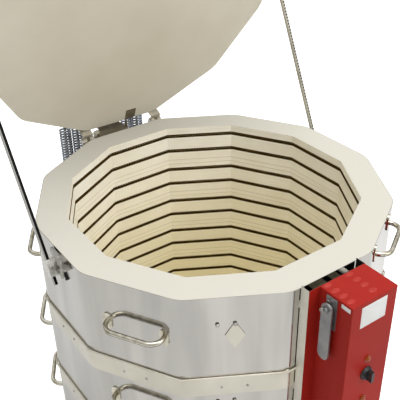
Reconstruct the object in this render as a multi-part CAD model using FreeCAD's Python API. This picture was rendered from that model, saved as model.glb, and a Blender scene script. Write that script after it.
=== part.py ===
import FreeCAD, Part
import math
import os

# A twelve-sided top-loading ceramic kiln, made of three stacked brick sections in steel jackets,
# on a low stand, with a spring-balanced lid that stands open on two sliding stay rods.
# Millimetres, +Z up, floor at z = 0. The control box faces -Y and the lid hinge is at +Y.
# Shapes are built about the kiln's vertical axis, and all are moved together at the end so that
# the origin lies on the floor, under the middle of the whole object's outline.

Vec = FreeCAD.Vector
UP = Vec(0, 0, 1)
ACROSS = Vec(1, 0, 0)

# Twelve-sided walls
SIDES = 12
STEP = 360.0 / SIDES
HALF = math.radians(STEP / 2)
CHAMBER_APOTHEM = 365.0
BRICK_THICK = 76.0
BRICK_TALL = 114.3
ROWS = 2
SECTIONS = 3
OUTER_ROUND = 70.0
BRICK_CORNER_CUT = 4.0
WALL_APOTHEM = CHAMBER_APOTHEM + BRICK_THICK
SECTION_TALL = ROWS * BRICK_TALL

# Grooves in the bricks and the elements that lie in them
GROOVE_DROPS = (26.0, 76.0)
GROOVE_MOUTH = 11.0
GROOVE_DEEP = 16.0
GROOVE_LIP = 3.0
ELEMENT_RADIUS = 5.5
ELEMENT_FLAT = 2.5
ELEMENT_PLAY = 0.3

# Steel jackets
SHEET = 0.8
JACKET_GAP = 0.3
JACKET = WALL_APOTHEM + JACKET_GAP + SHEET
BAND_TALL = 50.0
BAND_RISE = 5.0
BAND_LIP = 3.0

# Stand and floor
STAND_TALL = 200.0
FLOOR_THICK = 76.0
PAN_SHEET = 1.2
FOOT_TALL = 10.0
FOOT_RADIUS = 24.0
LEG_SIZE = 32.0
LEG_WALL = 3.0
LEG_REACH = 375.0
FRAME_ANGLE = 35.0
FRAME_WALL = 3.5
BAR_THICK = 8.0
FLOOR_TOP = STAND_TALL + PAN_SHEET + FLOOR_THICK
RIM = FLOOR_TOP + SECTIONS * SECTION_TALL

# Lid and hinge: sizes are given for the closed lid, which is then turned open
LID_THICK = 76.0
LID_REST_GAP = 0.4
LID_BAND_TALL = 68.0
LID_OPEN = 68.0
HINGE_Y = 468.0
HINGE_DROP = 15.0
PIN_RADIUS = 6.0
RUNNING = 0.05
STRAP_X = 118.0
STRAP_WIDE = 32.0
STRAP_THICK = 4.0
STRAP_LONG = 270.0
KNUCKLE_RADIUS = 12.0
EAR_THICK = 10.0
EAR_PLAY = 0.3
SHELF_X = (-77.0, 13.0)
CLIP_X = (14.0, 49.0)
LEVER_THICK = 6.0
LEVER_FOOT = 170.0
LEVER_KNEE = 90.0
LEVER_KNEE_RISE = 34.0
YOKE_RADIUS = 7.0
YOKE_REACH = 136.5
YOKE_RISE = 76.4

# Counterbalance springs
SPRING_X = (-129.0, -88.0, 88.0, 129.0)
SPRING_RADIUS = 19.0
SPRING_WIRE = 5.0
ANCHOR_Y = 603.0
ANCHOR_LIFT = 32.0
ANCHOR_PLATE_TALL = 80.0
ANCHOR_PLATE_THICK = 5.0
ANCHOR_BAND_GAP = 4.8
ANCHOR_RADIUS = 6.0
ANCHOR_ARM_X = 108.0
ARM_THICK = 6.0
SPRING_EYE_LONG = 34.0
BOLT_RADIUS = 4.0
BOLT_IN_COIL = 170.0
EYE_WALL = 5.0
EYE_THICK = 9.0

# Stays: a rod on each side, pinned to the lid and sliding through a clamp block on the jacket
ROD_RADIUS = 6.0
ROD_OFF = 16.0
STAY_PIN_Y = -30.0
STAY_PIVOT_Y = {-1: 16.0, 1: 94.0}
STAY_PIVOT_DROP = 60.0
ROD_TAIL = 42.0
BLOCK_LONG = 42.0
BLOCK_FRONT = 22.0
BLOCK_BACK = 10.0
BLOCK_OUT = 9.5
SCREW_RADIUS = 3.0
WING_REACH = 50.0
WING_SWEEP_GAP = 1.5

# Handles
HANDLE_SPAN = 140.0
HANDLE_OUT = 34.0
HANDLE_RADIUS = 6.0
HANDLE_BEND = 29.0
HANDLE_SIDES = (-150, 150, 30, -60)
HANDLE_DROP = 112.0
HANDLE_SHIFT = 12.0
HIGH_HANDLE_SIDE = -60
HIGH_HANDLE_DROP = 28.0
HIGH_HANDLE_SHIFT = -12.0
TAB_WIDE = 22.0
TAB_TALL = 44.0
TAB_THICK = 3.0

# Peepholes, one for each section, with a lozenge cover that hangs from a screw
PEEP_SIDE = -120
PEEP_DROP = 100.0
PEEP_RADIUS = 12.5
COVER_HALF = 22.0
COVER_TALL = 74.0
COVER_THICK = 1.6
COVER_GAP = 0.6
COVER_PIVOT = 6.0
COVER_SHOULDER = 31.0
STOP_SCREW_X = 38.0

# Control box
BOX_SIDE = -90
BOX_HALF = 66.0
BOX_GAP = 26.0
BOX_DEEP = 93.0
BOX_RISE = 8.0
BOX_TALL = 600.0
BOX_SHEET = 1.2
BOX_FLANGE = 30.0
SHIELD_SHEET = 1.0
KNOB_RADIUS = 17.0
KNOB_DEEP = 20.0
KNOB_DROPS = (210.0, 330.0, 450.0)
LAMP_LIFT = 42.0
SPINDLE_RADIUS = 3.0
LEVER_Y_BACK = 38.0
LEVER_DROP = 30.0
LEVER_LONG = 150.0
LEVER_WIDE = 30.0
LEVER_STAND = 12.0
TERMINAL_X = (44.0, 10.0)

BACK_OF_BOX = JACKET + BOX_GAP
RISE_CLOSED = RIM + LID_REST_GAP
LID_TOP = RISE_CLOSED + LID_THICK
PIN = Vec(0, HINGE_Y, RIM - HINGE_DROP)
LOWER_BAND_LOW = RIM - (SECTIONS - 1) * SECTION_TALL - BAND_TALL
ANCHOR_PLATE_TOP = LOWER_BAND_LOW - ANCHOR_BAND_GAP
ANCHOR = Vec(0, ANCHOR_Y, ANCHOR_PLATE_TOP + ANCHOR_LIFT)
STAY_PIN_CLOSED = Vec(0, STAY_PIN_Y, RISE_CLOSED + LID_THICK / 2)
ROD_X = JACKET + ROD_OFF


def box(x0, y0, z0, x1, y1, z1):
    """A block between two corners."""
    return Part.makeBox(x1 - x0, y1 - y0, z1 - z0, Vec(x0, y0, z0))


def rod(start, end, radius):
    """A round bar between two points."""
    along = end - start
    return Part.makeCylinder(radius, along.Length, start, along)


def fused(shapes):
    """One solid from shapes that touch or overlap."""
    whole = shapes[0]
    for shape in shapes[1:]:
        whole = whole.fuse(shape)
    return whole.removeSplitter()


def polygon(points):
    """A closed straight-sided wire."""
    return Part.makePolygon(points + points[:1])


def plate(points, thickness_vector):
    """A flat plate from its outline and its thickness as a vector."""
    return Part.Face(polygon(points)).extrude(thickness_vector)


def corner(apothem, index):
    """Corner of the twelve-sided outline, counted from the one just past +X."""
    angle = math.radians(STEP * index) + HALF
    radius = apothem / math.cos(HALF)
    return Vec(radius * math.cos(angle), radius * math.sin(angle), 0)


def outline(apothem, z, corner_round=0.0):
    """The twelve-sided outline at a height, with its corners rounded."""
    lift = Vec(0, 0, z)
    if corner_round <= 0:
        return polygon([corner(apothem, i) + lift for i in range(SIDES)])
    edges = []
    turn = corner_round * math.tan(HALF)
    for i in range(SIDES):
        here = corner(apothem, i) + lift
        before = (corner(apothem, i - 1) + lift - here).normalize() * turn
        after = (corner(apothem, i + 1) + lift - here).normalize() * turn
        inward = (lift - here).normalize()
        middle = here + inward * (corner_round / math.cos(HALF) - corner_round)
        edges.append(Part.Arc(here + before, middle, here + after).toShape())
        following = corner(apothem, i + 1) + lift
        edges.append(Part.LineSegment(here + after, following - after).toShape())
    return Part.Wire(edges)


def prism(apothem, z0, tall, corner_round=0.0):
    """A twelve-sided block."""
    return Part.Face(outline(apothem, z0, corner_round)).extrude(Vec(0, 0, tall))


def ring(outer, wall, z0, tall, corner_round=OUTER_ROUND):
    """A twelve-sided band with an even wall."""
    return prism(outer, z0, tall, corner_round).cut(prism(outer - wall, z0, tall, corner_round - wall))


def on_side(shape, side):
    """Turn a shape made on the +X side of the kiln to another side, given in degrees."""
    turned = shape.copy()
    turned.rotate(Vec(0, 0, 0), UP, side)
    return turned


def opened(shape):
    """Turn a shape of the closed lid about the hinge pin to where the lid stands open."""
    turned = shape.copy()
    turned.rotate(PIN, ACROSS, -LID_OPEN)
    return turned


def opened_point(point):
    """Where a point of the closed lid lies when the lid stands open."""
    angle = math.radians(-LID_OPEN)
    y = point.y - PIN.y
    z = point.z - PIN.z
    return Vec(
        point.x,
        PIN.y + y * math.cos(angle) - z * math.sin(angle),
        PIN.z + y * math.sin(angle) + z * math.cos(angle),
    )


def group(shapes):
    """Separate solids kept in one sub-part."""
    return Part.makeCompound(shapes)


def section_top(section):
    """Height of a section's upper edge, counting sections from the top."""
    return RIM - section * SECTION_TALL


# Brick walls

def brick_outline(z):
    """One mitred brick seen from above, on the +X side, with its outer corners cut off."""
    half_in = CHAMBER_APOTHEM * math.tan(HALF)
    half_out = WALL_APOTHEM * math.tan(HALF)
    cut_back = BRICK_CORNER_CUT / math.sin(HALF)
    reach = WALL_APOTHEM / math.cos(HALF) - BRICK_CORNER_CUT
    side = Vec(reach * math.cos(HALF), reach * math.sin(HALF), 0)
    return [
        Vec(CHAMBER_APOTHEM, -half_in, z),
        Vec(side.x, -side.y, z),
        Vec(WALL_APOTHEM, cut_back - half_out, z),
        Vec(WALL_APOTHEM, half_out - cut_back, z),
        Vec(side.x, side.y, z),
        Vec(CHAMBER_APOTHEM, half_in, z),
    ]


def groove_cutter(z):
    """The cut for one groove: its floor falls outwards, so that the element stays in."""
    half = GROOVE_MOUTH / 2
    near = CHAMBER_APOTHEM
    far = CHAMBER_APOTHEM + GROOVE_DEEP
    wide = WALL_APOTHEM
    return plate(
        [
            Vec(near - 1, -wide / 2, z - half),
            Vec(near - 1, -wide / 2, z + half),
            Vec(far, -wide / 2, z + half),
            Vec(far, -wide / 2, z - half - GROOVE_LIP),
            Vec(near, -wide / 2, z - half),
        ],
        Vec(0, wide, 0),
    )


def plain_brick():
    """A brick with its top at z = 0 and two grooves on its inner face."""
    brick = plate(brick_outline(-BRICK_TALL), Vec(0, 0, BRICK_TALL))
    for drop in GROOVE_DROPS:
        brick = brick.cut(groove_cutter(-drop))
    return brick


def rounded_brick():
    """A brick of the uppermost row, whose outer corners follow the jacket's round corners."""
    return plain_brick_full().common(prism(WALL_APOTHEM, -BRICK_TALL, BRICK_TALL, OUTER_ROUND))


def plain_brick_full():
    """A brick with its outer corners left whole."""
    half_in = CHAMBER_APOTHEM * math.tan(HALF)
    half_out = WALL_APOTHEM * math.tan(HALF)
    brick = plate(
        [
            Vec(CHAMBER_APOTHEM, -half_in, -BRICK_TALL),
            Vec(WALL_APOTHEM, -half_out, -BRICK_TALL),
            Vec(WALL_APOTHEM, half_out, -BRICK_TALL),
            Vec(CHAMBER_APOTHEM, half_in, -BRICK_TALL),
        ],
        Vec(0, 0, BRICK_TALL),
    )
    for drop in GROOVE_DROPS:
        brick = brick.cut(groove_cutter(-drop))
    return brick


def terminal_places(section):
    """Where the two ends of a section's element pass the wall: across and height."""
    top = section_top(section)
    return tuple((x, top - drop) for x, drop in zip(TERMINAL_X, GROOVE_DROPS))


INSULATOR_RADIUS = 7.0
INSULATOR_PLAY = 0.2
PIN_ROD = 2.5


def wall_holes(section, side, radius_extra=0.0):
    """Cutters for the holes that pass a section's wall on one side, made on the +X side."""
    cutters = []
    start = CHAMBER_APOTHEM + GROOVE_DEEP - 1
    end = JACKET + 60
    if side == BOX_SIDE:
        for across, height in terminal_places(section):
            radius = INSULATOR_RADIUS + INSULATOR_PLAY + radius_extra
            cutters.append(rod(Vec(start, across, height), Vec(end, across, height), radius))
    if side == PEEP_SIDE:
        height = section_top(section) - PEEP_DROP
        start = CHAMBER_APOTHEM - 1
        cutters.append(rod(Vec(start, 0, height), Vec(end, 0, height), PEEP_RADIUS + radius_extra))
    return cutters


def brick_section(section):
    """All bricks of a section: two rows of twelve, each brick a solid of its own."""
    bricks = []
    for row in range(ROWS):
        top = section_top(section) - row * BRICK_TALL
        pattern = rounded_brick() if section == 0 and row == 0 else plain_brick()
        for i in range(SIDES):
            side = round(STEP * i)
            if side > 180:
                side -= 360
            brick = pattern.copy()
            brick.translate(Vec(0, 0, top))
            for cutter in wall_holes(section, side):
                if cutter.BoundBox.ZMin < top and cutter.BoundBox.ZMax > top - BRICK_TALL:
                    brick = brick.cut(cutter)
            bricks.append(on_side(brick, side))
    return group(bricks)


def element_ring(z):
    """One turn of heating element, lying round the wall in its groove."""
    middle = CHAMBER_APOTHEM + GROOVE_DEEP - ELEMENT_RADIUS - ELEMENT_PLAY
    heights = (-ELEMENT_RADIUS, -ELEMENT_FLAT, ELEMENT_FLAT, ELEMENT_RADIUS)
    reaches = (ELEMENT_FLAT, ELEMENT_RADIUS, ELEMENT_RADIUS, ELEMENT_FLAT)
    outer = [outline(middle + r, z + h) for h, r in zip(heights, reaches)]
    inner = [outline(middle - r, z + h) for h, r in zip(heights, reaches)]
    return Part.makeLoft(outer, True, True).cut(Part.makeLoft(inner, True, True))


def element(section):
    """The four turns of a section's heating element."""
    turns = []
    for row in range(ROWS):
        for drop in GROOVE_DROPS:
            groove = section_top(section) - row * BRICK_TALL - drop
            turns.append(element_ring(groove - ELEMENT_PLAY * 2))
    return group(turns)


# Jackets, floor and stand

def jacket(section):
    """The polished sheet round one section."""
    sheet = ring(JACKET, SHEET, section_top(section) - SECTION_TALL, SECTION_TALL)
    for side in (BOX_SIDE, PEEP_SIDE):
        for cutter in wall_holes(section, side, 1.0):
            sheet = sheet.cut(on_side(cutter, side))
    return sheet


def locating_band(section):
    """The collar with a raised lip that seats a section on the one below it."""
    seam = section_top(section)
    outer = JACKET + SHEET
    collar = ring(outer, SHEET, seam - BAND_TALL, BAND_TALL + BAND_RISE, OUTER_ROUND + SHEET)
    lip = ring(outer + SHEET, SHEET, seam + BAND_RISE - BAND_LIP, BAND_LIP, OUTER_ROUND + 2 * SHEET)
    band = collar.fuse(lip).removeSplitter()
    return cut_for_fittings(band, section)


def cut_for_fittings(band, section):
    """Leave the collar open behind the control box."""
    gap = box(BACK_OF_BOX * 0.5, -BOX_HALF - BOX_FLANGE - 2, section_top(section) - BAND_TALL - 1,
              BACK_OF_BOX, BOX_HALF + 2, section_top(section) + BAND_RISE + 1)
    return band.cut(on_side(gap, BOX_SIDE))


def floor_pan():
    """The steel pan that holds the floor slab, with an upright edge."""
    outer = prism(JACKET, STAND_TALL, PAN_SHEET + FLOOR_THICK, OUTER_ROUND)
    inner = prism(JACKET - SHEET, STAND_TALL + PAN_SHEET, FLOOR_THICK, OUTER_ROUND - SHEET)
    return outer.cut(inner)


def floor_slab():
    """The brick floor of the kiln."""
    return prism(WALL_APOTHEM, STAND_TALL + PAN_SHEET, FLOOR_THICK, OUTER_ROUND)


def stand_places():
    """Where the four legs stand."""
    return [Vec(LEG_REACH * math.cos(math.radians(a)), LEG_REACH * math.sin(math.radians(a)), 0)
            for a in (45, 135, 225, 315)]


def wedge(tall):
    """The twelfth part of the plan on the +X side, between two mitre planes."""
    reach = 2 * JACKET
    side = Vec(reach * math.cos(HALF), reach * math.sin(HALF), 0)
    return plate([Vec(0, 0, 0), Vec(side.x, -side.y, 0), side], Vec(0, 0, tall))


def stand_frame():
    """A ring of twelve mitred lengths of steel angle, with two flat bars across it."""
    top = STAND_TALL
    reach = LEG_REACH + LEG_SIZE / 2 + FRAME_WALL
    outer = prism(reach, top - FRAME_ANGLE, FRAME_ANGLE)
    inside = prism(reach - FRAME_WALL, top - FRAME_ANGLE, FRAME_ANGLE - FRAME_WALL)
    hole = prism(reach - FRAME_ANGLE, top - FRAME_WALL, FRAME_WALL)
    length = outer.cut(inside).cut(hole).common(wedge(top))
    parts = [on_side(length, STEP * i) for i in range(SIDES)]
    inner = reach - FRAME_WALL
    half = FRAME_ANGLE / 2
    low = top - FRAME_WALL - BAR_THICK
    parts.append(box(-inner, -half, low, inner, half, top - FRAME_WALL))
    for start, end in ((half, inner), (-inner, -half)):
        parts.append(box(-half, start, low, half, end, top - FRAME_WALL))
    return group(parts)


def stand_legs():
    """Four square tube legs under the ring, each with a closed top."""
    legs = []
    half = LEG_SIZE / 2
    hollow = half - LEG_WALL
    high = STAND_TALL - FRAME_WALL
    for index, place in enumerate(stand_places()):
        leg = box(-half, -half, FOOT_TALL, half, half, high)
        leg = leg.cut(box(-hollow, -hollow, FOOT_TALL, hollow, hollow, high - 4))
        leg.rotate(Vec(0, 0, 0), UP, 45 + 90 * index)
        leg.translate(place)
        legs.append(leg)
    return group(legs)


def stand_feet():
    """Four round glides that take the weight on the floor."""
    feet = []
    for place in stand_places():
        foot = Part.makeCylinder(FOOT_RADIUS, FOOT_TALL, place)
        rim_edges = [e for e in foot.Edges if abs(e.BoundBox.ZMax) < 0.01 and len(e.Vertexes) == 1]
        foot = foot.makeChamfer(2.0, rim_edges)
        feet.append(foot)
    return group(feet)


# Handles

def handle_on(side, height, shift=0.0):
    """A bent round bar on two rounded tabs, fixed across one side of the kiln."""
    half = HANDLE_SPAN / 2
    foot = JACKET + TAB_THICK
    out = JACKET + HANDLE_OUT
    bend = HANDLE_BEND
    along = math.sqrt(0.5) * bend
    points = [
        Vec(foot, -half, height),
        Vec(out - bend, -half, height),
        Vec(out, -half + bend, height),
        Vec(out, half - bend, height),
        Vec(out - bend, half, height),
        Vec(foot, half, height),
    ]
    first = Vec(out - bend + along, -half + bend - along, height)
    second = Vec(out - bend + along, half - bend + along, height)
    path = Part.Wire([
        Part.LineSegment(points[0], points[1]).toShape(),
        Part.Arc(points[1], first, points[2]).toShape(),
        Part.LineSegment(points[2], points[3]).toShape(),
        Part.Arc(points[3], second, points[4]).toShape(),
        Part.LineSegment(points[4], points[5]).toShape(),
    ])
    section = Part.Wire([Part.makeCircle(HANDLE_RADIUS, points[0], ACROSS)])
    grip = path.makePipeShell([section], True, True)
    pieces = [grip]
    straight = (TAB_TALL - TAB_WIDE) / 2
    for y in (-half, half):
        tab = box(JACKET, y - TAB_WIDE / 2, height - straight, foot, y + TAB_WIDE / 2, height + straight)
        ends = [Part.makeCylinder(TAB_WIDE / 2, TAB_THICK, Vec(JACKET, y, height + z), ACROSS)
                for z in (-straight, straight)]
        pieces.append(fused([tab] + ends))
    for piece in pieces:
        piece.translate(Vec(0, shift, 0))
    return [on_side(piece, side) for piece in pieces]


def handle_drop(section, side):
    """How far a handle sits under its section's edge: one at the rim is set high."""
    return HIGH_HANDLE_DROP if section == 0 and side == HIGH_HANDLE_SIDE else HANDLE_DROP


def handle_shift(section, side):
    """How far a handle sits along its side from the middle."""
    return HIGH_HANDLE_SHIFT if section == 0 and side == HIGH_HANDLE_SIDE else HANDLE_SHIFT


def handles(section):
    """The four handles of one section."""
    pieces = []
    for side in HANDLE_SIDES:
        pieces += handle_on(side, section_top(section) - handle_drop(section, side), handle_shift(section, side))
    return group(pieces)


# Peepholes

def cover_points(x):
    """Outline of the lozenge cover, pointing down, with its pivot near the upper tip."""
    return [
        Vec(x, 0, COVER_PIVOT),
        Vec(x, -COVER_HALF, -COVER_SHOULDER),
        Vec(x, 0, COVER_PIVOT - COVER_TALL),
        Vec(x, COVER_HALF, -COVER_SHOULDER),
    ]


PIVOT_SCREW_RADIUS = 2.0
SCREW_HEAD = 4.5
SCREW_HEAD_TALL = 2.2


def cover_pivot_height(section):
    """Height of a cover's pivot screw."""
    return section_top(section) - PEEP_DROP + COVER_SHOULDER - 3


def peephole_cover(section):
    """A lozenge of sheet that hangs over the peephole."""
    base = JACKET + COVER_GAP
    cover = plate(cover_points(base), Vec(COVER_THICK, 0, 0))
    hole = rod(Vec(base - 1, 0, 0), Vec(base + COVER_THICK + 1, 0, 0), PIVOT_SCREW_RADIUS + RUNNING)
    cover = cover.cut(hole)
    cover.translate(Vec(0, 0, cover_pivot_height(section)))
    return on_side(cover, PEEP_SIDE)


def dome_screw(start, radius, head, head_tall, stand):
    """A screw on the +X side: a shank that stands off the sheet, and a low round head."""
    shank = rod(start, start + Vec(stand, 0, 0), radius)
    top = Part.makeCylinder(head, head_tall, start + Vec(stand, 0, 0), ACROSS)
    outer = [e for e in top.Edges if len(e.Vertexes) == 1 and e.BoundBox.XMin > start.x + stand + head_tall / 2]
    top = top.makeChamfer(head_tall * 0.6, outer)
    return shank.fuse(top).removeSplitter()


def peephole_screws():
    """A pivot screw for each cover and the stop screw beside it."""
    pieces = []
    stand = COVER_GAP + COVER_THICK + COVER_GAP
    for section in range(SECTIONS):
        height = cover_pivot_height(section)
        for across in (0.0, -STOP_SCREW_X):
            screw = dome_screw(Vec(JACKET, across, height), PIVOT_SCREW_RADIUS, SCREW_HEAD, SCREW_HEAD_TALL, stand)
            pieces.append(on_side(screw, PEEP_SIDE))
    return group(pieces)


# Lid

def lid_slab():
    """The brick lid, with a shallow pocket for the clip at its hinge edge."""
    slab = prism(WALL_APOTHEM, RISE_CLOSED, LID_THICK, OUTER_ROUND)
    return opened(slab.cut(clip_pocket(1.0)))


def lid_band():
    """The polished band clamped round the lid."""
    lift = RISE_CLOSED + (LID_THICK - LID_BAND_TALL) / 2
    return opened(ring(JACKET, SHEET, lift, LID_BAND_TALL))


def lid_handle():
    """The handle on the lid's front edge."""
    return opened(group(handle_on(BOX_SIDE, RISE_CLOSED + LID_THICK / 2)))


def hinge_strap(x):
    """A strap over the lid's top, bent down behind it to a knuckle on the hinge pin."""
    half = STRAP_WIDE / 2
    back = JACKET + 1.5 + STRAP_THICK
    top = LID_TOP + STRAP_THICK
    over = box(x - half, back - STRAP_LONG, LID_TOP, x + half, back, top)
    down = box(x - half, back - STRAP_THICK, PIN.z, x + half, back, top)
    web = box(x - half, back - STRAP_THICK, PIN.z, x + half, PIN.y, PIN.z + STRAP_THICK)
    start = Vec(x - half, PIN.y, PIN.z)
    end = Vec(x + half, PIN.y, PIN.z)
    knuckle = rod(start, end, KNUCKLE_RADIUS)
    strap = fused([over, down, web, knuckle])
    bore = rod(start - ACROSS, end + ACROSS, PIN_RADIUS + RUNNING)
    slot = EAR_THICK / 2 + EAR_PLAY
    gap = rod(Vec(x - slot, PIN.y, PIN.z), Vec(x + slot, PIN.y, PIN.z), KNUCKLE_RADIUS + 1)
    return strap.cut(bore).cut(gap)


def hinge_straps():
    """Both lid straps."""
    return opened(group([hinge_strap(-STRAP_X), hinge_strap(STRAP_X)]))


def yoke_closed():
    """Centre of the spring yoke with the lid closed."""
    angle = math.radians(YOKE_RISE)
    return Vec(0, PIN.y + YOKE_REACH * math.cos(angle), PIN.z + YOKE_REACH * math.sin(angle))


def lever_plate(x):
    """An upright plate on a strap that reaches back to carry the spring yoke."""
    yoke = yoke_closed()
    foot = LID_TOP + STRAP_THICK
    side = Vec(LEVER_THICK, 0, 0)
    start = x - LEVER_THICK / 2
    shape = plate(
        [
            Vec(start, JACKET - LEVER_FOOT, foot),
            Vec(start, JACKET + 1, foot),
            Vec(start, yoke.y + 6, yoke.z - 12),
            Vec(start, yoke.y - 6, yoke.z + 12),
            Vec(start, JACKET - LEVER_KNEE, foot + LEVER_KNEE_RISE),
        ],
        side,
    )
    boss_start = Vec(start, yoke.y, yoke.z)
    boss = rod(boss_start, boss_start + side, YOKE_RADIUS + 7)
    bore = rod(boss_start - ACROSS, boss_start + side + ACROSS, YOKE_RADIUS)
    return fused([shape, boss]).cut(bore)


def lever_plates():
    """Both lever plates."""
    return opened(group([lever_plate(-STRAP_X), lever_plate(STRAP_X)]))


YOKE_HALF = 152.0


def spring_yoke():
    """The bar across the levers that pulls on the springs."""
    yoke = yoke_closed()
    bar = rod(Vec(-YOKE_HALF, yoke.y, yoke.z), Vec(YOKE_HALF, yoke.y, yoke.z), YOKE_RADIUS)
    return opened(bar)


STUD_BASE = 24.0
STUD_BASE_THICK = 2.5
EYE_HALF = 4.0
STUD_RADIUS = 9.0
SIDE_PLAY = 0.3


def stay_studs():
    """A stud on each side of the lid that the stay rod's eye bears against."""
    studs = []
    for sign in (-1, 1):
        centre = STAY_PIN_CLOSED
        base = box(JACKET, centre.y - STUD_BASE, centre.z - STUD_BASE * 0.8,
                   JACKET + STUD_BASE_THICK, centre.y + STUD_BASE, centre.z + STUD_BASE * 0.8)
        boss = rod(Vec(JACKET, centre.y, centre.z),
                   Vec(ROD_X - EYE_HALF - SIDE_PLAY, centre.y, centre.z), STUD_RADIUS)
        stud = fused([base, boss])
        if sign < 0:
            stud = stud.mirror(Vec(0, 0, 0), ACROSS)
        studs.append(stud)
    return opened(group(studs))


# Hinge on the kiln

CLIP_SHEET = 1.0
CLIP_REACH = 37.0


def clip_pocket(extra):
    """The strip of the slab's underside and back edge that the clip is let into."""
    low = box(CLIP_X[0], WALL_APOTHEM - CLIP_REACH, RISE_CLOSED - extra,
              CLIP_X[1], WALL_APOTHEM + extra, RISE_CLOSED + CLIP_SHEET)
    up = box(CLIP_X[0], WALL_APOTHEM - CLIP_SHEET, RISE_CLOSED - extra,
             CLIP_X[1], WALL_APOTHEM + extra, RISE_CLOSED + LID_THICK / 2)
    return fused([low, up])


def lid_clip():
    """A folded strip of sheet let into the slab's underside at the hinge, under the band."""
    return opened(clip_pocket(0.0))


HINGE_PLATE_HALF = 134.0
HINGE_PLATE_TALL = 150.0
SHELF_THICK = 3.0
STRIP_WIDE = 5.0


def hinge_ear(x):
    """An upright lug that carries one hinge pin between the two knuckles of a strap."""
    start = x - EAR_THICK / 2
    lug = plate(
        [
            Vec(start, JACKET + 4, PIN.z - 90),
            Vec(start, JACKET + 4, PIN.z - 16),
            Vec(start, PIN.y - 8.5, PIN.z - 8.5),
            Vec(start, PIN.y + KNUCKLE_RADIUS, PIN.z),
            Vec(start, PIN.y + KNUCKLE_RADIUS - 2, PIN.z - 10),
        ],
        Vec(EAR_THICK, 0, 0),
    )
    boss = rod(Vec(start, PIN.y, PIN.z), Vec(start + EAR_THICK, PIN.y, PIN.z), KNUCKLE_RADIUS)
    bore = rod(Vec(start - 1, PIN.y, PIN.z), Vec(start + EAR_THICK + 1, PIN.y, PIN.z), PIN_RADIUS)
    return fused([lug, boss]).cut(bore)


def hinge_bracket():
    """The steel bracket on the back of the top section: a plate, two lugs for the pins, and a shelf
    between them with a bright strip at its end."""
    base = box(-HINGE_PLATE_HALF, JACKET, RIM - HINGE_PLATE_TALL, HINGE_PLATE_HALF, JACKET + 5, PIN.z - 6)
    shelf_z = PIN.z + PIN_RADIUS + 3
    back = PIN.y + 26
    shelf = box(SHELF_X[0], JACKET + 1, shelf_z, SHELF_X[1], back, shelf_z + SHELF_THICK)
    lip = box(SHELF_X[0] - 8, JACKET + 1, shelf_z, SHELF_X[0] + 8, back - 4, shelf_z + SHELF_THICK + 1)
    neck = box(SHELF_X[0] - 8, JACKET, PIN.z - 7, SHELF_X[1], JACKET + 5, shelf_z + SHELF_THICK)
    strip = box(SHELF_X[1] - 1, PIN.y - 4, PIN.z - 10, SHELF_X[1] + STRIP_WIDE, PIN.y, RIM + 12)
    tie = box(SHELF_X[1] - 6, PIN.y - 4, PIN.z - 10, SHELF_X[1], PIN.y + 4, shelf_z + 1)
    return fused([base, shelf, lip, neck, strip, tie] + [hinge_ear(x) for x in (-STRAP_X, STRAP_X)])


PIN_HEAD = 3.0


def hinge_pins():
    """Two short steel pins that the lid turns on, each with a flat head at both ends."""
    pins = []
    half = STRAP_WIDE / 2 + EAR_PLAY
    for x in (-STRAP_X, STRAP_X):
        pin = rod(Vec(x - half, PIN.y, PIN.z), Vec(x + half, PIN.y, PIN.z), PIN_RADIUS)
        heads = [rod(Vec(x + a, PIN.y, PIN.z), Vec(x + a + PIN_HEAD, PIN.y, PIN.z), PIN_RADIUS + 3)
                 for a in (-half - PIN_HEAD, half)]
        pins.append(fused([pin] + heads))
    return group(pins)


# Springs

ANCHOR_HALF = 114.0


def spring_anchor():
    """The bracket low on the back of the kiln, under the lower band, with its cross bar."""
    low, high = ANCHOR_PLATE_TOP - ANCHOR_PLATE_TALL, ANCHOR_PLATE_TOP
    parts = [box(-ANCHOR_HALF, JACKET, low, ANCHOR_HALF, JACKET + ANCHOR_PLATE_THICK, high)]
    for x in (-ANCHOR_ARM_X, ANCHOR_ARM_X):
        start = x - ARM_THICK / 2
        arm = plate(
            [
                Vec(start, JACKET + ANCHOR_PLATE_THICK - 1, low),
                Vec(start, ANCHOR.y + 12, ANCHOR.z - 12),
                Vec(start, ANCHOR.y + 12, ANCHOR.z + 12),
                Vec(start, JACKET + 30, ANCHOR.z - 12),
                Vec(start, JACKET + ANCHOR_PLATE_THICK - 1, high),
            ],
            Vec(ARM_THICK, 0, 0),
        )
        parts.append(arm)
    bar = rod(Vec(-YOKE_HALF, ANCHOR.y, ANCHOR.z), Vec(YOKE_HALF, ANCHOR.y, ANCHOR.z), ANCHOR_RADIUS)
    return fused(parts + [bar])


def spring_ends():
    """The points that the springs run between with the lid open: yoke and anchor."""
    return opened_point(yoke_closed()), Vec(0, ANCHOR.y, ANCHOR.z)


def along_spring(shape):
    """Place a shape made upright at the origin along the line from the anchor to the yoke."""
    top, bottom = spring_ends()
    line = top - bottom
    turned = shape.copy()
    turned.rotate(Vec(0, 0, 0), ACROSS, -math.degrees(math.atan2(line.y, line.z)))
    turned.translate(bottom)
    return turned


def spring_length():
    """Distance from anchor to yoke with the lid open."""
    top, bottom = spring_ends()
    return (top - bottom).Length


COIL_TOP_GAP = 46.0
PLUG_THICK = 8.0


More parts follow.
